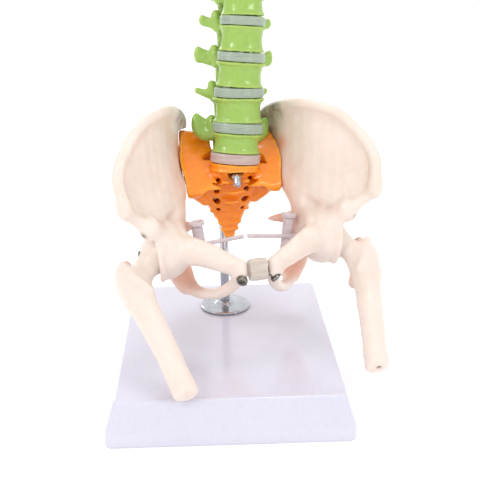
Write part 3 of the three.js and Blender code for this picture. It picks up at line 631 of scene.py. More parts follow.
def finish_of(slot):
    """The material for one of the record's material slots, made once from the panel's colours."""
    if slot not in FINISHES:
        look = bpy.context.scene.skeleton_look
        FINISHES[slot] = {
            "vertebra_green": lambda: vertebra_finish(slot, look.lumbar),
            "vertebra_yellow": lambda: vertebra_finish(slot, look.thoracic),
            "vertebra_blue": lambda: vertebra_finish(slot, look.cervical),
            # sacrum: dark red painted shade in hollows, paler painted highlight on edges
            "sacrum_orange": lambda: moulded(slot, look.sacrum, scaled(look.sacrum, 0.62, 0.28, 0.2),
                                             scaled(look.sacrum, 1.0, 1.3, 1.6), 0.24, 0.45, 0.1,
                                             (1, 0.45, 0.15)),
            # bone: the darker warm colour is painted shade for crevices and creases
            "bone": lambda: stained_bone(slot, look.bone, scaled(look.bone, 0.86, 0.66, 0.5), look.stain,
                                         0.36),
            "disc_grey": lambda: soft_plastic(slot, look.disc, scaled(look.disc, 0.84, 0.88, 0.88), 0.3, 0.1),
            "disc_pink": lambda: soft_plastic(slot, look.low_disc, scaled(look.low_disc, 0.88, 0.82, 0.8),
                                              0.34, 0.1),
            "pad": lambda: soft_plastic(slot, look.pad, scaled(look.pad, 0.84, 0.82, 0.78), 0.4, 0.15),
            "nylon": lambda: soft_plastic(slot, look.nylon, scaled(look.nylon, 0.93, 0.9, 0.92), 0.34, 0.2,
                                          0.003),
            "core_rubber": lambda: soft_plastic(slot, look.core, scaled(look.core, 0.85, 0.83, 0.8), 0.5,
                                                0.0, 0.002),
            # stand: slightly darker painted shade in hollows, paler painted highlight on edges
            "white_plastic": lambda: moulded(slot, look.stand, scaled(look.stand, 0.9, 0.9, 0.92),
                                             scaled(look.stand, 1.04, 1.04, 1.04), 0.2, 0.5, 0.08,
                                             (1, 1, 1), 0.25, 0.35),
            # chrome: the darker streaks in its colour are painted reflections
            "chrome": lambda: metal(slot, look.chrome, scaled(look.chrome, 0.82, 0.82, 0.84), 0.08,
                                    (1.0, 1.0, 0.2)),
            "dark_steel": lambda: metal(slot, look.steel, scaled(look.steel, 0.5, 0.48, 0.44), 0.26),
            # washer: its near-black colour is painted shade, the dark ring at the nut's seat
            "black_washer": lambda: metal(slot, (0.03, 0.029, 0.028), (0.012, 0.012, 0.012), 0.35,
                                          metallic=0.6),
        }[slot]()
    return FINISHES[slot]


def vertebra_finish(slot, colour):
    # second and third colours: painted shade for hollows, painted highlight for edges
    return moulded(slot, colour, scaled(colour, 0.62, 0.72, 0.45), scaled(colour, 1.22, 1.08, 1.18), 0.27,
                   0.4, 0.1,
                   (0.8, 1.0, 0.4))


def settle(obj, body, slot, nodes=()):
    """Gives a finished piece its material, its body and the CAD nodes that it stands for."""
    obj.data.materials.append(finish_of(slot))
    if body:
        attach(obj, body)
    if nodes:
        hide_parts(*nodes)
    return obj


# ---- settings a user can change -----------------------------------------------------------------------
def colour_setting(name, description, *display):
    return bpy.props.FloatVectorProperty(
        name=name, description=description, subtype="COLOR", size=3, min=0, max=1, default=linear(*display)
    )


class SkeletonSizes(bpy.types.PropertyGroup):
    grain: bpy.props.FloatProperty(
        name="Grain", description="Cell of the modelling clay; smaller gives finer detail",
        default=0.6 * MM, min=0.3 * MM, max=2 * MM, unit="LENGTH", precision=5,
    )
    disc_groove: bpy.props.FloatProperty(
        name="Disc groove", description="Depth of the level grooves round each disc",
        default=0.16 * MM, min=0, max=1 * MM, unit="LENGTH", precision=5,
    )
    lip: bpy.props.FloatProperty(
        name="Vertebra lip", description="How far the rims of a vertebral body stand out",
        default=0.5 * MM, min=0, max=1.5 * MM, unit="LENGTH", precision=5,
    )
    stand_edge: bpy.props.FloatProperty(
        name="Stand edge", description="Rounding of the stand's edges",
        default=1.3 * MM, min=0.2 * MM, max=3 * MM, unit="LENGTH", precision=5,
    )


class SkeletonLook(bpy.types.PropertyGroup):
    lumbar: colour_setting("Lumbar", "Vertebrae L1 to L5", 156, 187, 92)
    thoracic: colour_setting("Thoracic", "Vertebrae T1 to T12", 226, 192, 84)
    cervical: colour_setting("Cervical", "Vertebrae C1 to C7", 98, 152, 202)
    sacrum: colour_setting("Sacrum", "Sacrum and coccyx", 252, 146, 20)
    bone: colour_setting("Bone", "Hip bones and femurs", 233, 219, 209)
    stain: colour_setting("Stain", "Painted shading in the hollows of the bones", 112, 98, 66)
    disc: colour_setting("Discs", "Soft discs between the vertebrae", 170, 184, 166)
    low_disc: colour_setting("Lowest disc", "Soft disc on the sacrum", 206, 186, 180)
    pad: colour_setting("Pubic pad", "Soft pad between the hip bones", 222, 210, 200)
    nylon: colour_setting("Nylon", "Hip axles and anchors", 226, 216, 220)
    core: colour_setting("Core", "Flexible core in the spinal canal", 226, 220, 203)
    stand: colour_setting("Stand", "Rectangular stand", 207, 205, 219)
    chrome: colour_setting("Chrome", "Rod, flange and nut", 192, 194, 199)
    steel: colour_setting("Screws", "Plated screws", 138, 134, 126)


class SkeletonStudio(bpy.types.PropertyGroup):
    floor: colour_setting("Floor", "Floor and backdrop", 250, 250, 250)
    sky: bpy.props.FloatProperty(
        name="Sky", description="Brightness of the light from all round", default=1.0, min=0, max=5
    )
    key: bpy.props.FloatProperty(
        name="Key light", description="Power of the main soft light", default=2.6, min=0, max=100,
        unit="POWER"
    )
    lens: bpy.props.FloatProperty(
        name="Lens", description="Focal length of the camera", default=62.25, min=20, max=200, unit="CAMERA"
    )


def sizes():
    return bpy.context.scene.skeleton_sizes


def grain(share=1.0):
    return sizes().grain / MM * share


# ---- stand --------------------------------------------------------------------------------------------
RIB_HALF = 1.2


class SKELETON_OT_stand(bpy.types.Operator):
    """Builds the ribbed white stand, the chrome flange and the rod"""

    bl_idname = "skeleton.stand"
    bl_label = "Stand"

    def execute(self, context):
        low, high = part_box("base")
        half = ((high.x - low.x) / 2 / MM, (high.y - low.y) / 2 / MM)
        height = high.z / MM
        slope, lip, wall, corner = 5.2, 7.0, 2.6, 4.5
        edge = sizes().stand_edge / MM
        side = rounded_profile([(2.4, 0), (0, 0), (0, lip), (slope, height), (slope + 8, height)], edge, 6)

        def ring(inset, z, corner_now, sides=8):
            points = []
            for sx, sy, start in ((1, 1, 0), (-1, 1, 90), (-1, -1, 180), (1, -1, 270)):
                for k in range(sides + 1):
                    a = math.radians(start + 90 * k / sides)
                    points.append((
                        (sx * (half[0] - inset - corner_now) + math.cos(a) * corner_now) * MM,
                        (sy * (half[1] - inset - corner_now) + math.sin(a) * corner_now) * MM, z * MM))
            return points

        rings = [ring(inset, z, max(0.4, corner - 0.2 * min(inset, 8))) for inset, z in side]
        inner = [(slope + wall + 8, height - wall), (slope + wall, height - wall), (wall, lip), (wall, 0)]
        inside = [ring(inset, z, 2.0) for inset, z in rounded_profile(inner, 1.0, 3)]
        shell = rings_mesh("base", list(reversed(inside)) + rings)
        parts = [shell]
        reach = (half[0] - slope - wall / 2, half[1] - slope - wall / 2)
        bars = [((x, 0), (RIB_HALF, reach[1])) for x in (-20.8, 20.8)]
        bars += [((0, y), (reach[0], RIB_HALF)) for y in (-39.7, 0, 39.7)]
        for (x, y), (dx, dy) in bars:
            box = [[((x + sx * dx) * MM, (y + sy * dy) * MM, z * MM)
                    for sx, sy in ((1, 1), (-1, 1), (-1, -1), (1, -1))]
                   for z in (0.0, 0.2, height - wall / 2)]
            parts.append(rings_mesh("rib", box))
        rod_low, rod_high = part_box("rod")
        rod_y = (rod_low.y + rod_high.y) / 2 / MM
        tube = [[(r * math.cos(a) * MM, (rod_y + r * math.sin(a)) * MM, z * MM)
                 for a in np.linspace(0, 2 * math.pi, 40, endpoint=False)]
                for r, z in ((3.4, height - wall), (3.4, height - 12), (6.6, height - 12), (7, height - 11.5),
                             (7, height - wall / 2))]
        parts.append(rings_mesh("socket", tube))
        join_pieces(parts)
        settle(shell, "stand", "white_plastic", ["base"])

        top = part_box("flange")[0].z / MM
        bore = ROD_RADIUS + 0.08
        profile = rounded_profile([(bore, 0), (15.6, 0), (15.8, 0.9), (14.9, 1.6), (8.6, 2.3), (6.6, 2.9),
                                   (5.9, 3.7), (4.6, 4.2), (bore, 4.1), (bore, 0)], 0.5, 4)
        rise = Matrix.Translation((0, rod_y * MM, top * MM)) @ Matrix.Scale(MM, 4)
        rings = [circle(r, z, 96) for r, z in profile]
        settle(rings_mesh("flange", rings, rise, closed=False), "stand", "chrome", ["flange"])
        foot, end = rod_low.z / MM, rod_high.z / MM
        profile = rounded_profile([(0.01, foot), (ROD_RADIUS, foot), (ROD_RADIUS, end), (0.01, end)], 0.5, 4)
        rise = Matrix.Translation((0, rod_y * MM, 0)) @ Matrix.Scale(MM, 4)
        rings = [circle(r, z, 64) for r, z in profile]
        settle(rings_mesh("rod", rings, rise), "stand", "chrome", ["rod"])
        return {"FINISHED"}


def join_pieces(parts):
    """Joins mesh objects into the first one."""
    for other in bpy.context.selected_objects:
        other.select_set(False)
    for part in parts:
        part.select_set(True)
    bpy.context.view_layer.objects.active = parts[0]
    bpy.ops.object.join()


# ---- sacrum -------------------------------------------------------------------------------------------
# The joint face between sacrum and hip bone leans a little: a point on it, its normal and how far it bulges.
FACE_POINT = (29.0, 20.0, 38.0)
FACE_NORMAL = (1.0, 0.1, -0.06)
FACE_BULGE = 3.0


def beyond_face(x, y, z):
    """How far a point lies outwards of the joint face, which bulges outwards at its upper front."""
    bulge = FACE_BULGE * np.exp(-(((z - 47) / 11) ** 2) - ((y - 22) / 14) ** 2)
    dx, dy, dz = x - FACE_POINT[0], y - FACE_POINT[1], z - FACE_POINT[2]
    return dx * FACE_NORMAL[0] + dy * FACE_NORMAL[1] + dz * FACE_NORMAL[2] - bulge


# Height, half width, front and back of the sacrum and coccyx, from the tip up.
SACRUM_STATIONS = (
    (-9, 2.2, 34.2, 36.2),
    (-4, 4.0, 33.6, 36.6),
    (0, 5.4, 33.0, 36.8),
    (4, 8.6, 32.4, 39.5),
    (9, 11.0, 31.0, 47.0),
    (16, 16.0, 28.6, 49.5),
    (23, 23.6, 26.2, 51.0),
    (31, 29.0, 24.5, 50.5),
    (36, 30.0, 26.0, 50.0),
    (40, 30.0, 29.5, 49.5),
    (46, 28.5, 35.0, 48.5),
    (52, 26.0, 40.5, 47.5),
    (57, 22.0, 44.0, 46.5),
)

# One sheet of points over the front and top of a wing, from the middle out and from the front up.
WING = (
    ((10.5, 18.5, 32), (12, 24.5, 39), (12.5, 31.5, 45.5), (12.5, 38, 50)),
    ((19, 18.5, 29.5), (20, 24.5, 38), (20.5, 32.5, 47), (19.5, 41, 53.5)),
    ((26, 19.0, 28.5), (27.5, 25.5, 38), (27, 33.5, 48.5), (23, 43, 56)),
    ((30, 20.0, 30.5), (31.5, 25, 40), (31, 32.5, 49.0), (25, 44.0, 56.5)),
)


class SKELETON_OT_sacrum(bpy.types.Operator):
    """Builds the sacrum with the coccyx: wings, ridges, openings and the stepped lower end"""

    bl_idname = "skeleton.sacrum"
    bl_label = "Sacrum"

    def execute(self, context):
        clay = Clay((-36, 8, -14), (36, 58, 62), grain(1.0))
        x, y, z = clay.grid()
        heights = [s[0] for s in SACRUM_STATIONS]
        half, front, back = (np.interp(z, heights, [s[k] for s in SACRUM_STATIONS]) for k in (1, 2, 3))
        share = np.clip(np.abs(x) / half, 0, 1.4)
        bow = (1.6 - 5.2 * share**2) * np.clip((z - 4) / 14, 0, 1) * np.clip((44 - z) / 14, 0, 1)
        middle = (front + back) / 2 + bow * 0.8
        thick = (back - front) / 2
        across, through = np.abs(x) / half, np.abs(y - middle) / thick
        ring = (across**2.4 + through**2.4) ** (1 / 2.4)
        sides = (ring - 1) * np.minimum(half, thick) * 0.9
        ends = np.maximum(-9 - z, z - 57)
        clay.d = np.maximum(sides, ends + 0.6).astype(np.float32)
        low, up = DISC_CENTRES[0], DISC_CENTRES[1] - DISC_CENTRES[0]
        plate = np.array(frame_between(low - up, low + up))
        plate[:3, 3] = low
        top = -2.8 - GAP
        clay_body(clay, plate, *SACRAL_PLATE, top - 5, top, flare=0.06, lip=0.4, soft=3.5)
        clay.egg((0, 26, 35), (15, 9, 7), 3.0)
        clay.stroke([(-12, 13, 28.5), (0, 11.5, 29.5), (12, 13, 28.5)], 8.0, 2.0, carve=True)
        for s in (1, -1):
            self.side(clay, s)
        for height, out, back_y in ((38, 2.2, 50.5), (31, 2.6, 52), (23, 2.2, 51.4), (16, 1.8, 49.6)):
            clay.egg((0, back_y, height), (1.9, out, 3.0), 2.0)
        for height, half_width, y_now, tall in ((6.2, 8.6, 35.2, 1.7), (1.2, 5.6, 34.8, 1.9),
                                                (-2.9, 4.3, 34.6, 1.6),
                                                (-6.6, 3.1, 35.0, 1.5)):
            clay.egg((0, y_now, height), (half_width, 2.4, tall), 0.9)
        for height, y_now, tall in ((8.6, 32.4, 0.5), (3.9, 33.0, 0.45), (-0.9, 33.4, 0.35),
                                    (-4.9, 33.8, 0.3)):
            clay.stroke([(-9, y_now, height), (0, y_now - 1.1, height - 0.3), (9, y_now, height)], tall,
                        0.9, carve=True)
        for height, y_now, reach in ((31.5, 17.5, 7.5), (24.0, 22.4, 7.0), (16.6, 27.2, 5.5)):
            clay.stroke([(-reach, y_now, height), (0, y_now - 0.4, height - 0.6), (reach, y_now, height)],
                        [0.6, 1.0, 0.6], 2.2)
        x, y, z = clay.grid()
        rise = (x - low[0]) * plate[0, 2] + (y - low[1]) * plate[1, 2] + (z - low[2]) * plate[2, 2]
        out = np.sqrt((x - low[0]) ** 2 / 21.0**2 + (y - low[1]) ** 2 / 15.0**2)
        clay.trim(np.maximum(top - rise, (out - 1) * 15), 0.5)
        canal = np.maximum(np.abs((x - 0.6) / 10.5) - 1, np.maximum(30 - y, 43.5 - z) / 10.5)
        clay.trim(canal * 10.5, 1.2)
        clay.trim(-beyond_face(np.abs(x), y, z), 1.6)
        clay.ripple(0.11, 5.0, 3)
        rod_x, rod_y = ROD_IN_FIGURE
        clay.hole((rod_x, rod_y, -16), (rod_x, rod_y, 31), ROD_RADIUS + GAP)
        clay.hole((-0.5, 40.2, 36), (0, 38, 52), 3.3)
        clay.hole(on_bolt(-BOLT_DEPTH - 0.3), on_bolt(16), BOLT_RADIUS + GAP)
        clay.hole(on_bolt(0), on_bolt(16), 4.4, 0.8)
        settle(clay.mesh("sacrum", TO_SCENE, 3.2), "pelvis", "sacrum_orange", ["sacrum"])
        return {"FINISHED"}

    def side(self, clay, s):
        """One wing with its rim, openings and horns; s is 1 for the left and -1 for the right."""
        rows = [[(s * x, y + 2.5, z - 2.5) for x, y, z in row] for row in WING]
        clay.sheet(rows, [[7.0, 7.0, 7.0, 6.0]] * len(rows), 2.4)
        clay.stroke([(s * 26.0, 24.0, 28), (s * 22.0, 28.5, 23), (s * 16.0, 31.5, 17)], [3.2, 3.2, 2.6], 3.5)
        clay.egg((s * 14.5, 22.0, 25.6), (6.2, 3.6, 3.4), 2.2, carve=True)
        for height, x_now, y_now, wide, tall in ((33.2, 10.4, 16.5, 4.4, 1.25), (29.6, 10.2, 19.4, 3.8, 0.8),
                                                 (24.2, 9.8, 23.4, 3.6, 1.7), (17.0, 8.8, 28.4, 2.6, 1.5),
                                                 (10.8, 7.4, 31.6, 1.4, 0.9)):
            lean = math.radians(-s * 24)
            turn = ((math.cos(lean), 0, math.sin(lean)), (0, 1, 0), (-math.sin(lean), 0, math.cos(lean)))
            clay.egg((s * x_now, y_now, height), (wide, 5.0, tall), 0.8, turn, carve=True)
        for height, x_now in ((33, 9.6), (24.5, 9.0), (17, 8.2)):
            clay.stroke([(s * x_now, 14, height - 2), (s * x_now, 56, height + 1)], 1.5, 0.6, carve=True)
        for height, x_now, back_y in ((38, 20, 48.2), (31, 17, 50), (23, 14, 50), (15, 10.4, 48)):
            clay.egg((s * x_now, back_y, height), (1.8, 1.7, 2.4), 1.6)
        clay.egg((s * 6.4, 42.6, 7.2), (1.4, 1.8, 2.6), 1.0)
        for height, x_now in ((9.6, 11.0), (1.6, 6.0), (-2.8, 4.3)):
            clay.egg((s * x_now, 34.6, height), (1.3, 1.5, 1.1), 0.8)


def clay_body(clay, place, width, depth, low, high, flare=0.13, lip=0.5, waves=0.0, seed=0, soft=1.0):
    """Adds a vertebral body to clay: an oval flattened at the back, waisted, with standing rims."""
    inverse = np.linalg.inv(np.array(place, float))
    x, y, z = clay.grid()
    u, v, w = (inverse[k, 0] * x + inverse[k, 1] * y + inverse[k, 2] * z + inverse[k, 3] for k in range(3))
    angle = np.arctan2(v / depth, u / width)
    back = np.clip(np.sin(angle), 0, 1)
    ring = np.sqrt((2 * u / width) ** 2 + (2 * v / depth / (1 - 0.14 * back * back)) ** 2)
    half, middle = (high - low) / 2, (high + low) / 2
    level = np.clip((w - middle) / half, -1.2, 1.2)
    random = np.random.default_rng(seed + 40)
    wave = sum(np.sin(angle * n + random.uniform(0, 6.3)) * a
               for n, a in ((5, 0.5), (9, 0.4), (14, 0.35), (23, 0.2)))
    rim_up = np.exp(-(((w - high + 0.9 + waves * 0.45 * wave) / (0.75 + 0.25 * waves)) ** 2))
    rim_down = np.exp(-(((w - low - 0.7) / 0.7) ** 2))
    radius = min(width, depth) / 2
    girth = 1 - flare * (1 - np.abs(level) ** 2.3) + (lip / radius) * ((1 + 0.5 * waves) * rim_up + 0.6
            * rim_down - 0.7)
    sides = (ring - girth) * radius
    ends = np.abs(w - middle) - half
    corner = 1.0
    distance = np.maximum(sides, ends)
    outside = np.sqrt(np.maximum(sides + corner, 0) ** 2 + np.maximum(ends + corner, 0) ** 2) - corner
    distance = np.where((sides > -corner) & (ends > -corner), outside, distance)
    clay.d = smooth_min(clay.d, np.minimum(distance, FAR).astype(np.float32), soft).astype(np.float32)


# ---- vertebrae ----------------------------------------------------------------------------------------
# Transverse process: reach, tip radius, tip height, height at the root, lift of the tip.
TRANSVERSE = {
    "L5": (23.6, 2.3, 2.2, 1.7, 4.2),
    "L4": (22.0, 1.4, 1.3, 1.9, 3.0),
    "L3": (23.4, 2.0, 2.2, 1.8, 3.2),
    "L2": (21.4, 1.9, 1.55, 1.4, 3.2),
    "L1": (19.4, 1.8, 1.5, 1.4, 3.0),
}
# Share of the body's height at which the lumbar arch leaves it; L1's is lower, to clear T12.
LUMBAR_ARCH = 0.45
TOP_LUMBAR_ARCH = 0.2
# How far the upper joint lumps stand above a lumbar body, on L1 and on the others.
TOP_LUMP, LUMP = 2.4, 6.0


class SKELETON_OT_vertebrae(bpy.types.Operator):
    """Builds the vertebrae from L5 up to the atlas, each with its body, arch and processes"""

    bl_idname = "skeleton.vertebrae"
    bl_label = "Vertebrae"

    def execute(self, context):
        for index, name in enumerate(LEVELS):
            width, depth, height, canal, place = vertebra_size(index)
            make = {"L": self.lumbar, "T": self.thoracic, "C": self.cervical}[name[0]]
            clay, slot = make(name, index, width, depth, height, canal)
            clay.ripple(0.07, 4.0, index)
            piece = clay.mesh("vertebra_" + name, TO_SCENE @ place, 1.8)
            settle(piece, name, slot, ["vertebra_" + name])
        self.atlas()
        return {"FINISHED"}

    def lumbar(self, name, index, width, depth, height, canal):
        half, cy = height / 2, depth / 2 + BACK_SHARE * canal
        z = height * (TOP_LUMBAR_ARCH if name == "L1" else LUMBAR_ARCH)
        clay = Clay((-28, -depth / 2 - 3, -half - 9), (28, cy + 26, half + 14), grain(0.95))
        waves = {"L3": 1.0, "L4": 1.25, "L5": 0.7}.get(name, 0.3)
        clay_body(clay, Matrix(), width, depth, -half, half, 0.12, sizes().lip / MM, waves, index)
        reach, tip, tip_tall, root_tall, lift = TRANSVERSE[name]
        up = (0, 0, 1)
        for s in (1, -1):
            clay.stroke([(s * width * 0.27, depth * 0.36, z + 1), (s * canal * 1.4, cy - 0.5, z + 0.6)],
                        [3.0, 2.6], 1.6,
                        up, 1.3)
            clay.stroke([(s * canal * 1.35, cy, z), (s * canal * 1.0, cy + 3.6, z - 1),
                         (0, cy + canal + 1.2, z - 2)],
                        [2.2, 2.0, 2.2], 1.6, up, [1.9, 2.2, 1.9])
            root = (s * canal * 1.45, depth / 2 + canal * 0.45, z - 0.4)
            end = (s * (reach - tip), root[1] + 4.6, z + lift)
            knee = [(a + b) / 2 for a, b in zip(root, end)]
            knee[2] -= 0.3
            clay.stroke([root, knee, end], [2.3, (1.9 + tip) / 2, tip], 1.4, up,
                        [root_tall, (root_tall + tip_tall) / 2, tip_tall])
            if name == "L5":
                clay.stroke([(s * 11, root[1], z - 1.5), (s * 16.5, root[1] + 2, z - 2.4),
                             (s * 20.5, root[1] + 3.4, z + 0.2)],
                            [3.0, 2.6, 2.4], 2.0, up, 1.5)
            if name == "L3":
                clay.egg((s * (reach - 2.6), root[1] + 4.6, z + lift - 0.4), (2.4, 1.7, 4.2), 0.9)
            over = TOP_LUMP if name == "L1" else LUMP
            clay.stroke([(s * 10.4, cy - 1.2, z - 1), (s * 12.2, cy - 0.6, half + over * 0.4),
                         (s * 12.6, cy - 0.2, half + over)], [2.8, 2.9, 2.5], 1.6)
            clay.egg((s * 13.6, cy + 0.6, half + over * 0.25), (2.1, 2.1, 2.8), 1.2)
            clay.stroke([(s * 8.4, cy + 3.0, z - 2), (s * 7.3, cy + 3.2, -half - 1.2),
                         (s * 7.1, cy + 2.6, -half - 3.6)],
                        [2.5, 2.1, 1.8], 1.4)
        clay.stroke([(0, cy + canal, z - 1.5), (0, cy + canal + 7, z - 2.6), (0, cy + canal + 12.4, z - 3.4)],
                    [1.9, 1.5, 1.9], 1.6, up, [2.6, 3.5, 3.0])
        self.canal(clay, cy, canal, half)
        return clay, "vertebra_green"

    def thoracic(self, name, index, width, depth, height, canal):
        half, cy, z = height / 2, depth / 2 + BACK_SHARE * canal, 0.12 * height
        share = (index - 5) / 11
        drop = 5 + 5 * math.sin(share * math.pi)
        reach = {"T12": 13.0, "T11": 13.8}.get(name, 16.0)
        clay = Clay((-20, -depth / 2 - 3, -half - 16), (20, cy + 23, half + 7), grain(1.05))
        clay_body(clay, Matrix(), width, depth, -half, half, 0.11, sizes().lip / MM * 0.8, 0.35, index)
        up = (0, 0, 1)
        for s in (1, -1):
            clay.stroke([(s * width * 0.24, depth * 0.38, z + 1.2), (s * canal * 1.35, cy - 0.4, z + 0.8)],
                        [2.2, 2.0], 1.4,
                        up, 1.25)
            clay.stroke([(s * canal * 1.3, cy, z), (s * canal * 0.95, cy + 3.0, z - 0.6),
                         (0, cy + canal + 0.9, z - 1.4)],
                        [1.6, 1.5, 1.7], 1.3, up, [1.9, 2.2, 1.9])
            root = (s * canal * 1.3, depth / 2 + canal * 0.6, z + 0.3)
            end = (s * (reach - 2.2), depth / 2 + canal * 0.35 + 6.8, z + 1.6)
            clay.stroke([root, [(a + b) / 2 for a, b in zip(root, end)], end], [1.9, 1.5, 1.9], 1.2, up,
                        [1.2, 1.15, 1.15])
            clay.egg(end, (2.1, 1.9, 2.3), 0.9)
            clay.stroke([(s * 5.6, cy - 0.4, z + 1), (s * 5.4, cy + 0.2, half + 1.2)], [1.6, 1.1], 1.0)
            clay.egg((s * width * 0.36, depth * 0.33, half - 1.2), (1.9, 1.8, 1.6), 0.8)
            clay.egg((s * width * 0.47, depth * 0.36, half - 0.6), (1.4, 1.5, 1.3), 0.5, carve=True)
        clay.stroke([(0, cy + canal, z - 0.6), (0, cy + canal + 5.5, z - 0.4 * drop - 0.4),
                     (0, cy + canal + 11, z - drop)],
                    [1.5, 1.15, 1.35], 1.3, up, [1.9, 1.8, 1.4])
        self.canal(clay, cy, canal, half)
        return clay, "vertebra_yellow"

    def cervical(self, name, index, width, depth, height, canal):
        half, cy, z = height / 2, depth / 2 + BACK_SHARE * canal, 0.0
        clay = Clay((-18, -depth / 2 - 3, -half - 6), (18, cy + 20, half + 10), grain(0.95))
        tall = half
        if name == "C2":
            z = -0.19 * height
            tall = half * 0.24
        clay_body(clay, Matrix(), width, depth, -half, tall, 0.08, sizes().lip / MM * 0.7, 0.4, index)
        reach = {"C7": 15.6, "C2": 12.2}.get(name, 13.2)
        up = (0, 0, 1)
        for s in (1, -1):
            clay.stroke([(s * width * 0.34, depth * 0.3, z), (s * canal * 1.45, cy - 0.6, z)], [1.8, 1.7],
                        1.2, up, 1.1)
            clay.stroke([(s * canal * 1.4, cy, z), (s * canal, cy + 3.2, z - 0.4),
                         (0, cy + canal + 0.8, z - 1)],
                        [1.35, 1.2, 1.4], 1.1, up, [1.6, 1.8, 1.6])
            front = (s * (reach - 1.6), depth * 0.12, z + 0.4)
            rear = (s * (reach - 1.5), depth * 0.5, z + 0.5)
            clay.stroke([(s * width * 0.42, depth * 0.12, z + 0.2), front], [1.5, 1.3], 0.9, up, 1.0)
            clay.stroke([(s * canal * 1.5, cy - 2, z + 0.2), rear], [1.6, 1.4], 0.9, up, 1.0)
            clay.stroke([(s * 8.0, cy - 0.6, z - 1.2), (s * 8.3, cy - 0.9, z + 1.6)], [2.2, 2.1], 1.0)
            clay.hole((s * (width / 2 + 1.9), depth * 0.3, -half - 4),
                      (s * (width / 2 + 1.9), depth * 0.3, half + 4), 0.8)
        length = {"C7": 11.4, "C2": 8.4}.get(name, 6.4)
        clay.stroke([(0, cy + canal, z - 0.4), (0, cy + canal + length, z - 2.3)], [1.4, 1.2], 1.0, up,
                    [1.5, 1.1])
        if name != "C7":
            for s in (1, -1):
                clay.egg((s * 1.2, cy + canal + length, z - 2.4), (1.2, 1.3, 1.1), 0.7)
        self.canal(clay, cy, canal, half)
        if name == "C2":
            lift = (height - height * 0.62) / 2
            clay.stroke([(0, 0, -lift), (0, 0, 4.0 - lift), (0, -0.2, 8.4 - lift)], [2.6, 2.3, 1.5], 1.2)
            for s in (1, -1):
                clay.egg((s * 6.3, 1.8, -0.3), (3.2, 3.2, 1.2), 1.0)
        return clay, "vertebra_blue"

    def canal(self, clay, cy, canal, half):
        """Clears the spinal canal through the arch."""
        clay.stroke([(0, cy, -half - 8), (0, cy, half + 10)], canal * 0.93, 0.5, (1, 0, 0), 1.14, carve=True)

    def atlas(self):
        """The ring on top, with its side masses and its arms."""
        low, high = DISC_CENTRES[-2], DISC_CENTRES[-1]
        clay = Clay((-20, -8, -1), (20, 17, 12), grain(0.8))
        turns = np.linspace(0, 2 * math.pi, 29)
        clay.stroke([(8.7 * math.sin(t), 3.9 - 8.1 * math.cos(t), 5.0) for t in turns], 1.25, 0.6,
                    (0, 0, 1), 1.6)
        for s in (1, -1):
            clay.egg((s * 8.6, 0.8, 5.1), (2.5, 3.7, 2.9), 1.2)
            clay.stroke([(s * 9, 1.5, 4.8), (s * 15.2, 2.8, 4.3)], [1.7, 1.6], 1.0, (0, 0, 1), 1.05)
            clay.egg((s * 8.4, 0.8, 8.6), (1.6, 3.0, 1.0), 0.6, carve=True)
            clay.hole((s * 11.6, 2.2, -2), (s * 11.6, 2.2, 12), 0.85)
        clay.egg((0, -4.6, 5.0), (1.6, 1.1, 1.6), 0.9)
        clay.egg((0, 12.6, 5.0), (1.8, 1.2, 1.5), 0.9)
        clay.hole((0, 1.2, -5), (0, 1.2, 15), 4.5)
        clay.ripple(0.06, 4.0, 77)
        piece = clay.mesh("vertebra_C1", TO_SCENE @ frame_between(low, high), 1.6)
        settle(piece, "C1", "vertebra_blue", ["vertebra_C1"])


# ---- discs and core -----------------------------------------------------------------------------------
class SKELETON_OT_discs(bpy.types.Operator):
    """Builds the soft discs between the vertebrae"""

    bl_idname = "skeleton.discs"
    bl_label = "Discs"

    def execute(self, context):
        groove = sizes().disc_groove / MM
        for index, name in enumerate(LEVELS):
            width, depth, thick = BODY[name]
            under = "pelvis" if index == 0 else LEVELS[index - 1]
            wide, deep = SACRAL_PLATE if index == 0 else BODY[under][:2]
            wide, deep = (wide + width) / 2, (deep + depth) / 2
            low = DISC_CENTRES[index]
            before = low - (DISC_CENTRES[index - 1] if index else 2 * low - DISC_CENTRES[1])
            tilt = np.array(frame_between(low - before, low + before))
            tilt[:3, 3] = low
            rings = []
            count = 29
            for k in range(count):
                share = 2 * k / (count - 1) - 1
                bulge = 0.945 + 0.05 * math.sqrt(max(0.0, 1 - share**4))
                cut = groove * 0.5 * (1 - math.cos(share * math.pi * (4
                        if thick > 3 else 2))) * (abs(share) < 0.93)
                turns = np.linspace(0, 2 * math.pi, 72, endpoint=False)
                ring = []
                for a in turns:
                    flat = 1 - 0.14 * max(0.0, math.sin(a)) ** 2
                    wave = 1 + 0.004 * math.sin(3 * a + index) + 0.003 * math.sin(7 * a + 2 * index)
                    rx, ry = wide / 2 * bulge * wave - cut, deep / 2 * bulge * wave * flat - cut
                    ring.append((rx * math.cos(a), ry * math.sin(a), share * thick / 2))
                rings.append(ring)
            caps = [[tuple(np.array(p) * (s, s, 1)) for p in ring]
                    for ring, s in ((rings[0], 0.9), (rings[-1], 0.9))]
            label = f"disc_{name}_" + ("S1" if index == 0 else under)
            piece = rings_mesh(label, [caps[0], *rings, caps[1]], TO_SCENE @ Matrix(tilt.tolist()))
            slot = "disc_pink" if index == 0 else "disc_grey"
            settle(piece, None, slot, [label] if label in frame["nodes"] else ())
            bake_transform(piece)
        return {"FINISHED"}


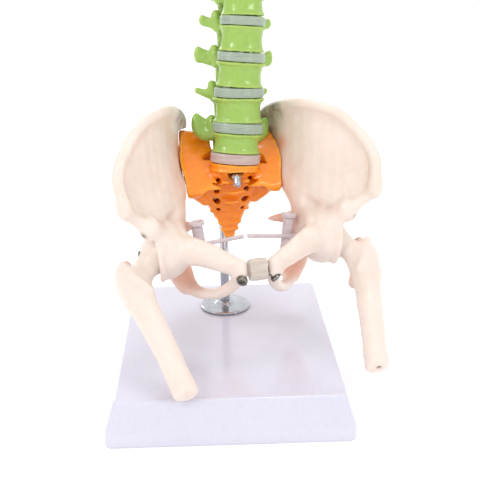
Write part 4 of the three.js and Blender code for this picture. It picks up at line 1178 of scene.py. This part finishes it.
class SKELETON_OT_core(bpy.types.Operator):
    """Builds the flexible core in the spinal canal, in lengths, one for each vertebra"""

    bl_idname = "skeleton.core"
    bl_label = "Core"

    def execute(self, context):
        points = [np.array((-0.5, 40.0, 37.8))]
        for index in range(len(LEVELS)):
            _, depth, _, canal, place = vertebra_size(index)
            points.append(np.array(place @ Vector((0, depth / 2 + canal * BACK_SHARE, 0))))
        middle = list(points)
        lowest = True
        for index, name in enumerate(LEVELS):
            window = [middle[max(0, index - 1)], middle[index], middle[index + 1],
                      middle[min(len(middle) - 1, index + 2)]]
            run = []
            for t in np.linspace(0, 1, 15):
                a, b, c, d = window
                run.append(0.5 * (2 * b + (c - a) * t + (2 * a - 5 * b + 4 * c - d) * t * t
                                  + (3 * b - a - 3 * c + d) * t**3))
            run = np.array(run)
            rings = []
            for k, centre in enumerate(run):
                ahead = run[min(k + 1, len(run) - 1)] - run[max(k - 1, 0)]
                ahead /= np.linalg.norm(ahead)
                side = np.cross(ahead, (0, 1.0, 0))
                side /= np.linalg.norm(side)
                other = np.cross(ahead, side)
                now = CORE_RADIUS * (0.88 if index == 0 and k == 0 else 1)
                rings.append([tuple(centre + now * (math.cos(a) * side + math.sin(a) * other))
                              for a in np.linspace(0, 2 * math.pi, 24, endpoint=False)])
            piece = rings_mesh("core_" + name, rings, TO_SCENE)
            settle(piece, None, "core_rubber", ["flexible_core"] if lowest else ())
            lowest = False
            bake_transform(piece)
        low, high = DISC_CENTRES[-2], DISC_CENTRES[-1]
        top = np.array(frame_between(low, high) @ Vector((0, 7.4, 11.5)))
        start = middle[-1]
        length = np.linalg.norm(top - start)
        ahead = (top - start) / length
        profile = rounded_profile([(0.01, 0), (CORE_RADIUS, 0), (CORE_RADIUS, length), (0.01, length)], 0.6,
                                  4)
        settle(turned("core_end", profile, start, ahead, 24), LEVELS[-1], "core_rubber")
        return {"FINISHED"}


# ---- hip bones ----------------------------------------------------------------------------------------
# Rows of points on the left iliac wing, from the back round to the front: rim, bowl, and above the socket.
CREST = [(25, 51, 50), (25.5, 47, 64), (31, 35, 70.5), (39, 17, 74.8), (54, 3, 71.5), (65, -7, 61.5),
         (71.5, -15.5, 48), (69.5, -23, 32)]
MIDDLE = [(28, 50, 42), (29.5, 43, 50), (33.6, 31, 54), (43, 14, 55), (53.4, 2, 51), (61, -6, 45),
          (66, -12, 37), (65, -18.5, 26)]
LOW = [(28, 43, 29), (31, 36, 29), (34, 27, 29), (38.5, 15, 27), (44, 6, 24), (50, -2, 22), (55, -9, 20),
       (56.5, -15, 18)]

# Seats of the two screws that hold the pubic pad: place and the way the head faces.
PAD_SCREWS = {
    "left": ((9.2, -29.0, -10.8), (0.62, -0.25, -0.75)),
    "right": ((-9.4, -31.4, -10.1), (-0.4, -0.85, -0.34)),
}


def rows_between(a, b, share, push=0.0):
    """A row of points part of the way from one row to another, pushed outwards and back."""
    return [tuple(p + (q - p) * share + push * n for p, q, n in zip(u, v, (1, 0.7, -0.2)))
            for u, v in zip(a, b)]


def near(points, radius, power=2.0):
    """A mark that is 1 at the given places and fades away from them."""
    def value(x, y, z):
        total = np.zeros(len(x))
        for px, py, pz, share in points:
            away = np.sqrt((x - px) ** 2 + (y - py) ** 2 + (z - pz) ** 2) / (radius * share)
            total = np.maximum(total, np.exp(-(away**power)))
        return total
    return value


class SKELETON_OT_hips(bpy.types.Operator):
    """Builds the two hip bones with wing, socket, spine, tuber and pubic arch"""

    bl_idname = "skeleton.hips"
    bl_label = "Hip bones"

    def execute(self, context):
        for side, s in (("left", 1), ("right", -1)):
            clay = self.left_bone(PAD_SCREWS[side], s)
            place = TO_SCENE @ Matrix.Diagonal((s, 1, 1, 1))
            marks = {
                "stain": near([(26, 50, 52, 1.0), (26.5, 45, 64, 0.95), (30, 37, 70, 0.7),
                               (28.5, 44, 52, 0.9),
                               (60, -18, 16, 0.2)], 10.5, 2.6),
                # painted warm shade inside the pelvis and where the hip bone meets the sacrum
                "blush": near([(33, 24, 18, 1.0), (32, 16, 2, 1.2), (30, 30, 27, 0.7), (30.2, 36, 42, 0.55),
                               (30, 30, 50, 0.4), (33, 10, -20, 0.9)], 13.0, 2.0),
            }
            settle(clay.mesh("hip_" + side, place, 3.4, marks), "pelvis", "bone", ["hip_" + side])
        return {"FINISHED"}

    def left_bone(self, seat, s):
        clay = Clay((2, -36, -40), (79, 60, 84), grain(1.2))
        rows = [rows_between(CREST, MIDDLE, 0.06), rows_between(CREST, MIDDLE, 0.42, 0.9), MIDDLE,
                rows_between(MIDDLE, LOW, 0.5), LOW]
        clay.sheet(rows, [[5.4, 5.6, 4.6, 4.2, 4.4, 4.8, 5.0, 5.2], [6.0, 5.2, 3.6, 3.2, 3.2, 3.4, 3.8, 4.6],
                          [6.0, 5.2, 4.2, 3.4, 3.2, 3.4, 4.4, 5.2], [7.0, 7.0, 6.6, 5.8, 5.2, 5.2, 5.6, 6.0],
                          [7.4, 8.4, 9.6, 9.8, 9.2, 8.4, 7.6, 7.2]], 1.0)
        clay.stroke(CREST, [2.7, 2.9, 2.9, 2.8, 2.9, 3.1, 3.3, 3.2], 1.1)
        clay.stroke([(58.5, 3.5, 68), (65.5, -3.5, 59.5), (68.5, -8, 51)], [2.2, 2.9, 2.0], 2.5)
        clay.egg((69.6, -22.0, 32.5), (3.2, 3.0, 5.6), 4.0)
        clay.egg((55.8, -15.6, 17.8), (3.4, 3.2, 5.6), 4.0)
        clay.stroke([(70, -22, 31), (64, -18.6, 25.5), (57, -16.5, 19)], [2.4, 2.4, 2.8], 3.0)
        clay.egg((25.6, 50.5, 50), (3.2, 3.2, 5.6), 2.4)
        clay.egg((29, 44.5, 31.5), (3.4, 4.4, 4.2), 2.4)
        clay.egg((47, -2, 1), (15.6, 16.6, 17.0), 4.0)
        up = (0, 0, 1)
        clay.stroke([(34, 25, 29), (38, 14, 20), (42, 6, 8)], [6.0, 7.2, 8.6], 4.0)
        clay.stroke([(36, 23, 27), (37.4, 13, 21.5), (38.2, 3, 15), (36.4, -8, 10.6), (31, -17, 8.2),
                     (21.5, -24, 5.4)],
                    [2.2, 2.4, 2.4, 2.2, 2.0, 1.6], 2.4)
        clay.stroke([(56, -14, 19), (52, -9, 10)], [5.2, 8.0], 3.4)
        clay.stroke([(39, 11, 8), (38.4, 13.2, -7), (35.4, 14.5, -19), (32.6, 12.6, -26.5)],
                    [7.8, 7.0, 7.2, 6.0], 3.0)
        clay.egg((36.6, 16.6, -17), (5.6, 5.4, 9.0), 3.0)
        clay.stroke([(38, 15, 6), (29.5, 19.8, 6), (21.6, 23.0, 5.3)], [4.6, 2.8, 1.0], 2.4, up,
                    [1.1, 1.1, 1.0])
        clay.stroke([(31.4, 10.5, -27.5), (25, 0, -28.6), (17.4, -11.6, -24.6), (11.4, -20.6, -16.6),
                     (10.2, -25.6, -10)],
                    [4.6, 3.3, 3.1, 3.4, 3.6], 2.2)
        clay.stroke([(44, -9, 2), (33.5, -17, 3.4), (22, -23.6, 0.6), (11.4, -27.0, -4.4)],
                    [7.4, 5.2, 4.5, 4.3], 2.6,
                    up, [1.0, 1.45, 1.5, 1.3])
        clay.egg((9.9, -27.3, -6.8), (4.6, 4.6, 6.8), 2.0)
        clay.egg((14.5, -28.8, -0.6), (2.3, 2.2, 2.0), 1.6)
        centre = np.array(along_axle(2.4))
        out = np.array((1, 0, -AXLE_RISE)) / math.hypot(1, AXLE_RISE)
        turns = np.radians(np.linspace(-60, 232, 30))
        across, rise = np.array((0, 1.0, 0)), np.cross(out, (0, 1.0, 0))
        clay.stroke([centre + 15.0 * (math.cos(a) * across + math.sin(a) * rise) for a in turns], 2.0, 2.0)
        clay.ripple(0.13, 9.0, 5)
        clay.egg((HIP_X, HIP_Y, 0), (SOCKET_RADIUS,) * 3, 0.5, carve=True)
        self.open_rim(clay, centre, out)
        clay.egg((47, -1, -17), (6.5, 4.6, 7.5), 2.0, carve=True)
        clay.hole(along_axle(-30), along_axle(5), AXLE_RADIUS + GAP, 0.4)
        x, y, z = clay.grid()
        face = beyond_face(x, y, z) - 0.4
        slab = np.maximum(face, np.maximum(12 - y, np.maximum(20 - z, z - 58)))
        clay.trim(slab, 0.6)
        slab = np.maximum(x - 5.3, y - 10)
        clay.trim(slab, 1.0)
        place, way = np.array(seat[0]) * (s, 1, 1), np.array(seat[1]) * (s, 1, 1)
        way /= np.linalg.norm(way)
        clay.hole(place - way * 0.4, place + way * 12, 3.4, 0.4)
        clay.hole(place - way * 9, place + way, 1.1 + GAP, 0.3)
        return clay

    def open_rim(self, clay, centre, out):
        """Clears the mouth of the socket, so that the femur's neck can swing."""
        x, y, z = clay.grid()
        run = (x - centre[0]) * out[0] + (y - centre[1]) * out[1] + (z - centre[2]) * out[2]
        square = (x - centre[0]) ** 2 + (y - centre[1]) ** 2 + (z - centre[2]) ** 2 - run**2
        flare = 13.4 + np.clip(run, -1, 6) * 0.55
        mouth = np.maximum(np.sqrt(np.maximum(square, 0)) - flare, -run - 1.2)
        clay.trim(mouth, 1.6)
        clay.trim(np.maximum(np.sqrt(np.maximum(square, 0)) - 19.5, 1.4 - run), 1.2)


# ---- femurs, axles, anchors and screws ----------------------------------------------------------------
def femur_place(side):
    """The femur's own frame: its head's centre, X outwards and -Z down the shaft, as it hangs at rest."""
    s = 1 if side == "left" else -1
    return (Matrix.Diagonal((s, 1, 1, 1)) @ Matrix.Translation((HIP_X, HIP_Y, 0))
            @ Matrix.Rotation(math.atan(AXLE_RISE), 4, "Y")
            @ Matrix.Rotation(math.radians(-FEMUR_FLEX[side]), 4, "X"))


class SKELETON_OT_femurs(bpy.types.Operator):
    """Builds the two half femurs, each with head, neck, trochanters and a cut shaft"""

    bl_idname = "skeleton.femurs"
    bl_label = "Femurs"

    def execute(self, context):
        for side in ("left", "right"):
            clay = Clay((-16, -16, -94), (34, 18, 16), grain(1.1))
            clay.egg((0, 0, 0), (HEAD_RADIUS,) * 3, 0.5)
            flat = (0, 1, 0)
            clay.stroke([(3, 0, -2), (12.5, 0.3, -10.5), (19, 1, -15)], [8.2, 6.6, 7.8], 3.0, flat,
                        [0.95, 0.88, 0.95])
            clay.stroke([(20.6, 3.4, -3.0), (22.0, 2.8, -9), (21.4, 1.6, -17), (19, 1, -26)],
                        [3.6, 5.7, 6.9, 7.4], 3.0,
                        flat, [1.15, 1.15, 1.1, 1.05])
            clay.egg((19.6, 6.2, -2.6), (2.8, 2.8, 3.6), 2.0)
            clay.stroke([(22.5, -3.6, -6), (19.5, -6.6, -14), (15.5, -7.0, -21), (11.5, -4.5, -27)],
                        [2.0, 1.8, 1.5, 1.6], 2.2)
            clay.stroke([(21, 8, -6), (18.5, 8.8, -14), (14.5, 8.6, -23), (11.8, 7.2, -28.5)],
                        [2.4, 2.2, 2.0, 2.4], 2.2)
            clay.stroke([(16.5, 1, -16), (17.5, 0.5, -26), (15.5, 0, -37), (12.8, -0.8, -52),
                         (9.6, -0.8, -70),
                         (6.3, 0, -FEMUR_LENGTH - 3)], [8.0, 8.4, 7.5, 6.9, 6.4, 6.8], 3.0)
            clay.stroke([(15, 3, -25), (11.8, 6.9, -28.5)], [4.6, 3.0], 2.2)
            clay.stroke([(14.5, 8.0, -34), (12.4, 6.2, -52), (9.4, 5.6, -70), (6.8, 6.2, -86)],
                        [1.2, 1.1, 1.1, 1.1], 1.8)
            clay.egg((17.6, 7.4, -8.2), (2.0, 3.0, 2.6), 1.4, carve=True)
            clay.ripple(0.15, 11.0, 9 if side == "left" else 12)
            clay.half_space((0, 0, -FEMUR_LENGTH), (-0.06, 0, -1), 2.2)
            clay.hole((-14, 0, 0), (12, 0, 0), AXLE_RADIUS + GAP)
            clay.hole((10.0, 0, 0), (18, 0, 0), 3.6, 0.5)
            if side == "left":
                clay.egg((7.4, -0.6, -FEMUR_LENGTH), (1.3, 1.0, 0.9), 0.3, carve=True)
            marks = {
                "stain": near([(17.5, 5.8, -7.2, 0.55), (18.5, 2.5, -2.6, 0.5), (12, 0, 0, 0.5),
                               (7.4, -0.6, -FEMUR_LENGTH, 0.22 if side == "left" else 0.02)], 6.5, 2.4),
                # painted warm shade where the neck meets the greater trochanter and round the lesser
                # trochanter
                "blush": near([(18, 3, -6, 1.0), (12, 7, -27, 0.8)], 6.0),
            }
            piece = clay.mesh("femur_" + side, TO_SCENE @ femur_place(side), 3.0, marks)
            settle(piece, "thigh_" + side, "bone", ["femur_" + side])
        return {"FINISHED"}


def cross_screw(name, at, along, radius, tall, shank, length, body):
    """A pan-head screw with a cross recess, its head's seat at a point and facing along a direction."""
    clay = Clay((-radius - 0.8, -radius - 0.8, -length - 0.6), (radius + 0.8, radius + 0.8, tall + 0.8), 0.14)
    x, y, z = clay.grid()
    out = np.sqrt(x * x + y * y)
    dome = tall - 0.28 * tall * (out / radius) ** 4
    head = np.maximum(out - radius, np.maximum(-z, (z - dome) * 0.9))
    thread = shank + 0.14 * np.sin(2 * math.pi * z / 0.9 + np.arctan2(y, x))
    stem = np.maximum(out - thread, np.maximum(z, -length - z))
    clay.d = smooth_min(np.minimum(head, FAR), np.minimum(stem, FAR), 0.2).astype(np.float32)
    arm, half = radius * 0.58, radius * 0.15
    for a, b in ((x, y), (y, x)):
        slot = np.maximum(np.abs(a) - arm + np.clip(tall - z, 0, 2) * 0.5,
                          np.maximum(np.abs(b) - half, tall * 0.4 - z))
        clay.trim(slot + 0 * z, 0.12)
    clay.ripple(0.012, 1.2, 2)
    return settle(clay.mesh(name, facing(at, along), 0.6), body, "dark_steel", [name])


class SKELETON_OT_hip_fittings(bpy.types.Operator):
    """Builds the nylon axle, the cross anchor and the screw of each hip joint"""

    bl_idname = "skeleton.hip_fittings"
    bl_label = "Hip axles, anchors and screws"

    def execute(self, context):
        for side, s in (("left", 1), ("right", -1)):
            outer, inner = Vector(along_axle(6, s)), Vector(along_axle(-(HIP_X - 0.9), s))
            run = (inner - outer).length
            profile = rounded_profile([(0.01, 0), (AXLE_RADIUS, 0), (AXLE_RADIUS, run), (0.01, run)], 0.35, 4)
            pin = turned("hip_axle_" + side, profile, outer, inner - outer, 32)
            settle(pin, "pelvis", "nylon", ["hip_axle_" + side])
            top, foot = (Vector((s * x, y, z)) for x, y, z in (ANCHOR_TOP, ANCHOR_FOOT))
            profile = rounded_profile([(0.01, 0), (4.3, 0), (4.4, 0.5), (4.4, 2.2), (3.1, 2.7), (2.8, 3.4),
                                       (3.2, 4.2),
                                       (3.2, 21.4), (2.5, 22.2), (0.01, 22.2)], 0.5, 4)
            anchor = turned("hip_anchor_" + side, profile, top, foot - top, 48)
            settle(anchor, "pelvis", "nylon", ["hip_anchor_" + side])
            place = femur_place(side)
            at = place @ Vector((10.4, 0, 0))
            along = place.to_3x3() @ Vector((1, 0, 0))
            cross_screw("hip_screw_" + side, at, along, 3.0, 2.2, 1.05, 4.0, "thigh_" + side)
        return {"FINISHED"}


class SKELETON_OT_pad(bpy.types.Operator):
    """Builds the soft pad of the pubic symphysis and its two screws"""

    bl_idname = "skeleton.pad"
    bl_label = "Pubic pad"

    def execute(self, context):
        clay = Clay((-7.5, -36, -19), (7.5, -19, 4), 0.4)
        x, y, z = clay.grid()
        wide, deep, tall = PAD_HALF
        swell = 1 + 0.05 * (1 - (x / wide) ** 2)
        across, up = (y - PAD_CENTRE[0]) / deep / swell, (z - PAD_CENTRE[1]) / tall / swell
        ring = np.sqrt(across**2 + up**2)
        clay.d = np.minimum(np.maximum((ring - 1) * deep, np.abs(x) - wide), FAR).astype(np.float32)
        clay.ripple(0.1, 5.0, 8)
        settle(clay.mesh("symphysis_pad", TO_SCENE, 1.6), "pelvis", "pad", ["symphysis_pad"])
        for side, (at, along) in PAD_SCREWS.items():
            cross_screw("symphysis_screw_" + side, at, along, 2.9, 2.3, 1.1, 4.0, "pelvis")
        return {"FINISHED"}


class SKELETON_OT_sacral_bolt(bpy.types.Operator):
    """Builds the stud under the front edge of the sacrum with its washer, coloured near black as painted
    shade, and its domed chrome nut
    """

    bl_idname = "skeleton.sacral_bolt"
    bl_label = "Sacral bolt"

    def execute(self, context):
        way = Vector(BOLT_ALONG).normalized()
        shank = rounded_profile([(0.01, 0), (BOLT_RADIUS, 0), (BOLT_RADIUS, BOLT_DEPTH + 7),
                                 (0.01, BOLT_DEPTH + 7)], 0.25, 3)
        bolt = turned("sacral_bolt", shank, on_bolt(-BOLT_DEPTH), way, 40)
        settle(bolt, "pelvis", "dark_steel", ["sacral_bolt"])
        around = BOLT_RADIUS + 0.2
        ring = rounded_profile([(around, 0), (3.5, 0), (3.5, 0.95), (around, 0.95), (around, 0)], 0.2, 3)
        # the washer's near-black finish is painted shade at the nut's seat
        washer = rings_mesh("sacral_washer", [circle(r, z, 48) for r, z in ring], facing(on_bolt(0.35), way),
                            closed=False)
        settle(washer, "pelvis", "black_washer", ["sacral_washer"])
        clay = Clay((-4.4, -4.4, -0.8), (4.4, 4.4, 9.0), 0.14)
        x, y, z = clay.grid()
        out = np.sqrt(x * x + y * y)
        flats = np.max([np.abs(x * math.cos(a) + y * math.sin(a)) for a in np.radians((0, 60, 120))], axis=0)
        body = np.maximum(flats - 2.9, np.maximum(-z, z - 2.6)) + 0 * z
        body = np.maximum(body, (out - 3.1 + (z - 2.0)) * 0.7)
        body = np.maximum(body, (out - 3.1 + (0.5 - z)) * 0.7)
        dome = np.maximum(np.sqrt(out**2 + np.maximum(z - 5.2, 0) ** 2) - 2.5, 1.0 - z)
        clay.d = np.minimum(smooth_min(body, dome, 0.3), FAR).astype(np.float32)
        clay.hole((0, 0, -1), (0, 0, 5.7), around, 0.15)
        settle(clay.mesh("sacral_nut", facing(on_bolt(1.65), way), 0.6), "pelvis", "chrome", ["sacral_nut"])
        return {"FINISHED"}


# ---- studio -------------------------------------------------------------------------------------------
CAMERA_PLACE = (-6.87, -463.18, 244.14)
CAMERA_PITCH, CAMERA_YAW, CAMERA_ROLL = 19.859, 1.896, -0.797


class SKELETON_OT_studio(bpy.types.Operator):
    """Sets the pale floor, the soft lights and the camera"""

    bl_idname = "skeleton.studio"
    bl_label = "Studio"

    def execute(self, context):
        studio = context.scene.skeleton_studio
        reach = 9.0
        sweep = rounded_profile([(-reach, 0.0), (5.0, 0.0), (5.0, 6.0)], 2.5, 24)
        points = [(x, y, z) for y, z in sweep for x in (-reach, reach)]
        faces = [(2 * k, 2 * k + 1, 2 * k + 3, 2 * k + 2) for k in range(len(sweep) - 1)]
        floor = mesh_object("floor", points, faces)
        material, tree, main = new_finish("studio_white", Roughness=0.7, Specular_IOR_Level=0.1,
                                          Emission_Color=(1, 1, 1, 1), Emission_Strength=0.12)
        spots = ramp(tree, noise(tree, 3.0, 3.0),
                     [(0.3, scaled(studio.floor, *(0.985,) * 3)), (0.7, studio.floor)])
        tree.links.new(spots, main.inputs["Base Color"])
        floor.data.materials.append(material)

        world = bpy.data.worlds.new("studio")
        context.scene.world = world
        world.use_nodes = True
        sky = world.node_tree.nodes["Background"]
        sky.inputs["Color"].default_value = (1, 1, 1, 1)
        sky.inputs["Strength"].default_value = studio.sky
        aim = Vector((0.0, 0.0, 0.1))
        for name, place, size, share in (
            ("key", (-0.55, -0.75, 0.85), 0.22, 1.0),
            ("fill", (0.75, -0.6, 0.55), 0.2, 0.4),
            ("top", (0.1, 0.25, 1.1), 0.3, 0.7),
            ("back", (-0.5, 0.9, 0.5), 0.3, 0.4),
        ):
            lamp = bpy.data.lights.new(name, "AREA")
            lamp.shape = "SQUARE"
            lamp.size = size
            lamp.energy = studio.key * share
            obj = bpy.data.objects.new(name, lamp)
            obj.location = place
            obj.rotation_euler = (Vector(place) - aim).to_track_quat("Z", "Y").to_euler()
            context.scene.collection.objects.link(obj)

        pitch, yaw, roll = (math.radians(a) for a in (CAMERA_PITCH, CAMERA_YAW, CAMERA_ROLL))
        ahead = Vector((math.sin(yaw) * math.cos(pitch), math.cos(yaw) * math.cos(pitch), -math.sin(pitch)))
        level = Vector((math.cos(yaw), -math.sin(yaw), 0))
        upright = level.cross(ahead)
        right = math.cos(roll) * level + math.sin(roll) * upright
        up = -math.sin(roll) * level + math.cos(roll) * upright
        camera = bpy.data.cameras.new("camera")
        camera.lens = studio.lens
        camera.clip_start = 0.01
        obj = bpy.data.objects.new("camera", camera)
        turn = Matrix((right, up, -ahead)).transposed().to_4x4()
        obj.matrix_world = Matrix.Translation(Vector(CAMERA_PLACE) * MM) @ turn
        context.scene.collection.objects.link(obj)
        context.scene.camera = obj
        context.scene.view_settings.view_transform = "Standard"
        return {"FINISHED"}


# ---- panel and run ------------------------------------------------------------------------------------
class SKELETON_PT_panel(bpy.types.Panel):
    """The settings and the steps, in the 3D view's sidebar"""

    bl_label = "Human skeleton model"
    bl_idname = "SKELETON_PT_panel"
    bl_space_type = "VIEW_3D"
    bl_region_type = "UI"
    bl_category = "Skeleton"

    def draw(self, context):
        for group in (context.scene.skeleton_sizes, context.scene.skeleton_look,
                      context.scene.skeleton_studio):
            box = self.layout.box()
            for name in group.bl_rna.properties.keys():
                if name not in ("rna_type", "name"):
                    box.prop(group, name)
        for step in STEPS:
            self.layout.operator(step.bl_idname)


GROUPS = {"skeleton_sizes": SkeletonSizes, "skeleton_look": SkeletonLook, "skeleton_studio": SkeletonStudio}
STEPS = (SKELETON_OT_stand, SKELETON_OT_sacrum, SKELETON_OT_sacral_bolt, SKELETON_OT_hips, SKELETON_OT_pad,
         SKELETON_OT_femurs, SKELETON_OT_hip_fittings, SKELETON_OT_vertebrae, SKELETON_OT_discs,
         SKELETON_OT_core,
         SKELETON_OT_studio)


def register():
    for name, group in GROUPS.items():
        bpy.utils.register_class(group)
        setattr(bpy.types.Scene, name, bpy.props.PointerProperty(type=group))
    for step in STEPS:
        bpy.utils.register_class(step)
    bpy.utils.register_class(SKELETON_PT_panel)


def unregister():
    bpy.utils.unregister_class(SKELETON_PT_panel)
    for step in reversed(STEPS):
        bpy.utils.unregister_class(step)
    for name, group in reversed(GROUPS.items()):
        delattr(bpy.types.Scene, name)
        bpy.utils.unregister_class(group)


def main():
    register()
    skeleton = bpy.ops.skeleton
    skeleton.stand()
    skeleton.sacrum()
    skeleton.sacral_bolt()
    skeleton.hips()
    skeleton.pad()
    skeleton.femurs()
    skeleton.hip_fittings()
    skeleton.vertebrae()
    skeleton.discs()
    skeleton.core()
    skeleton.studio()
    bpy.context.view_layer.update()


if __name__ == "__main__":
    main()
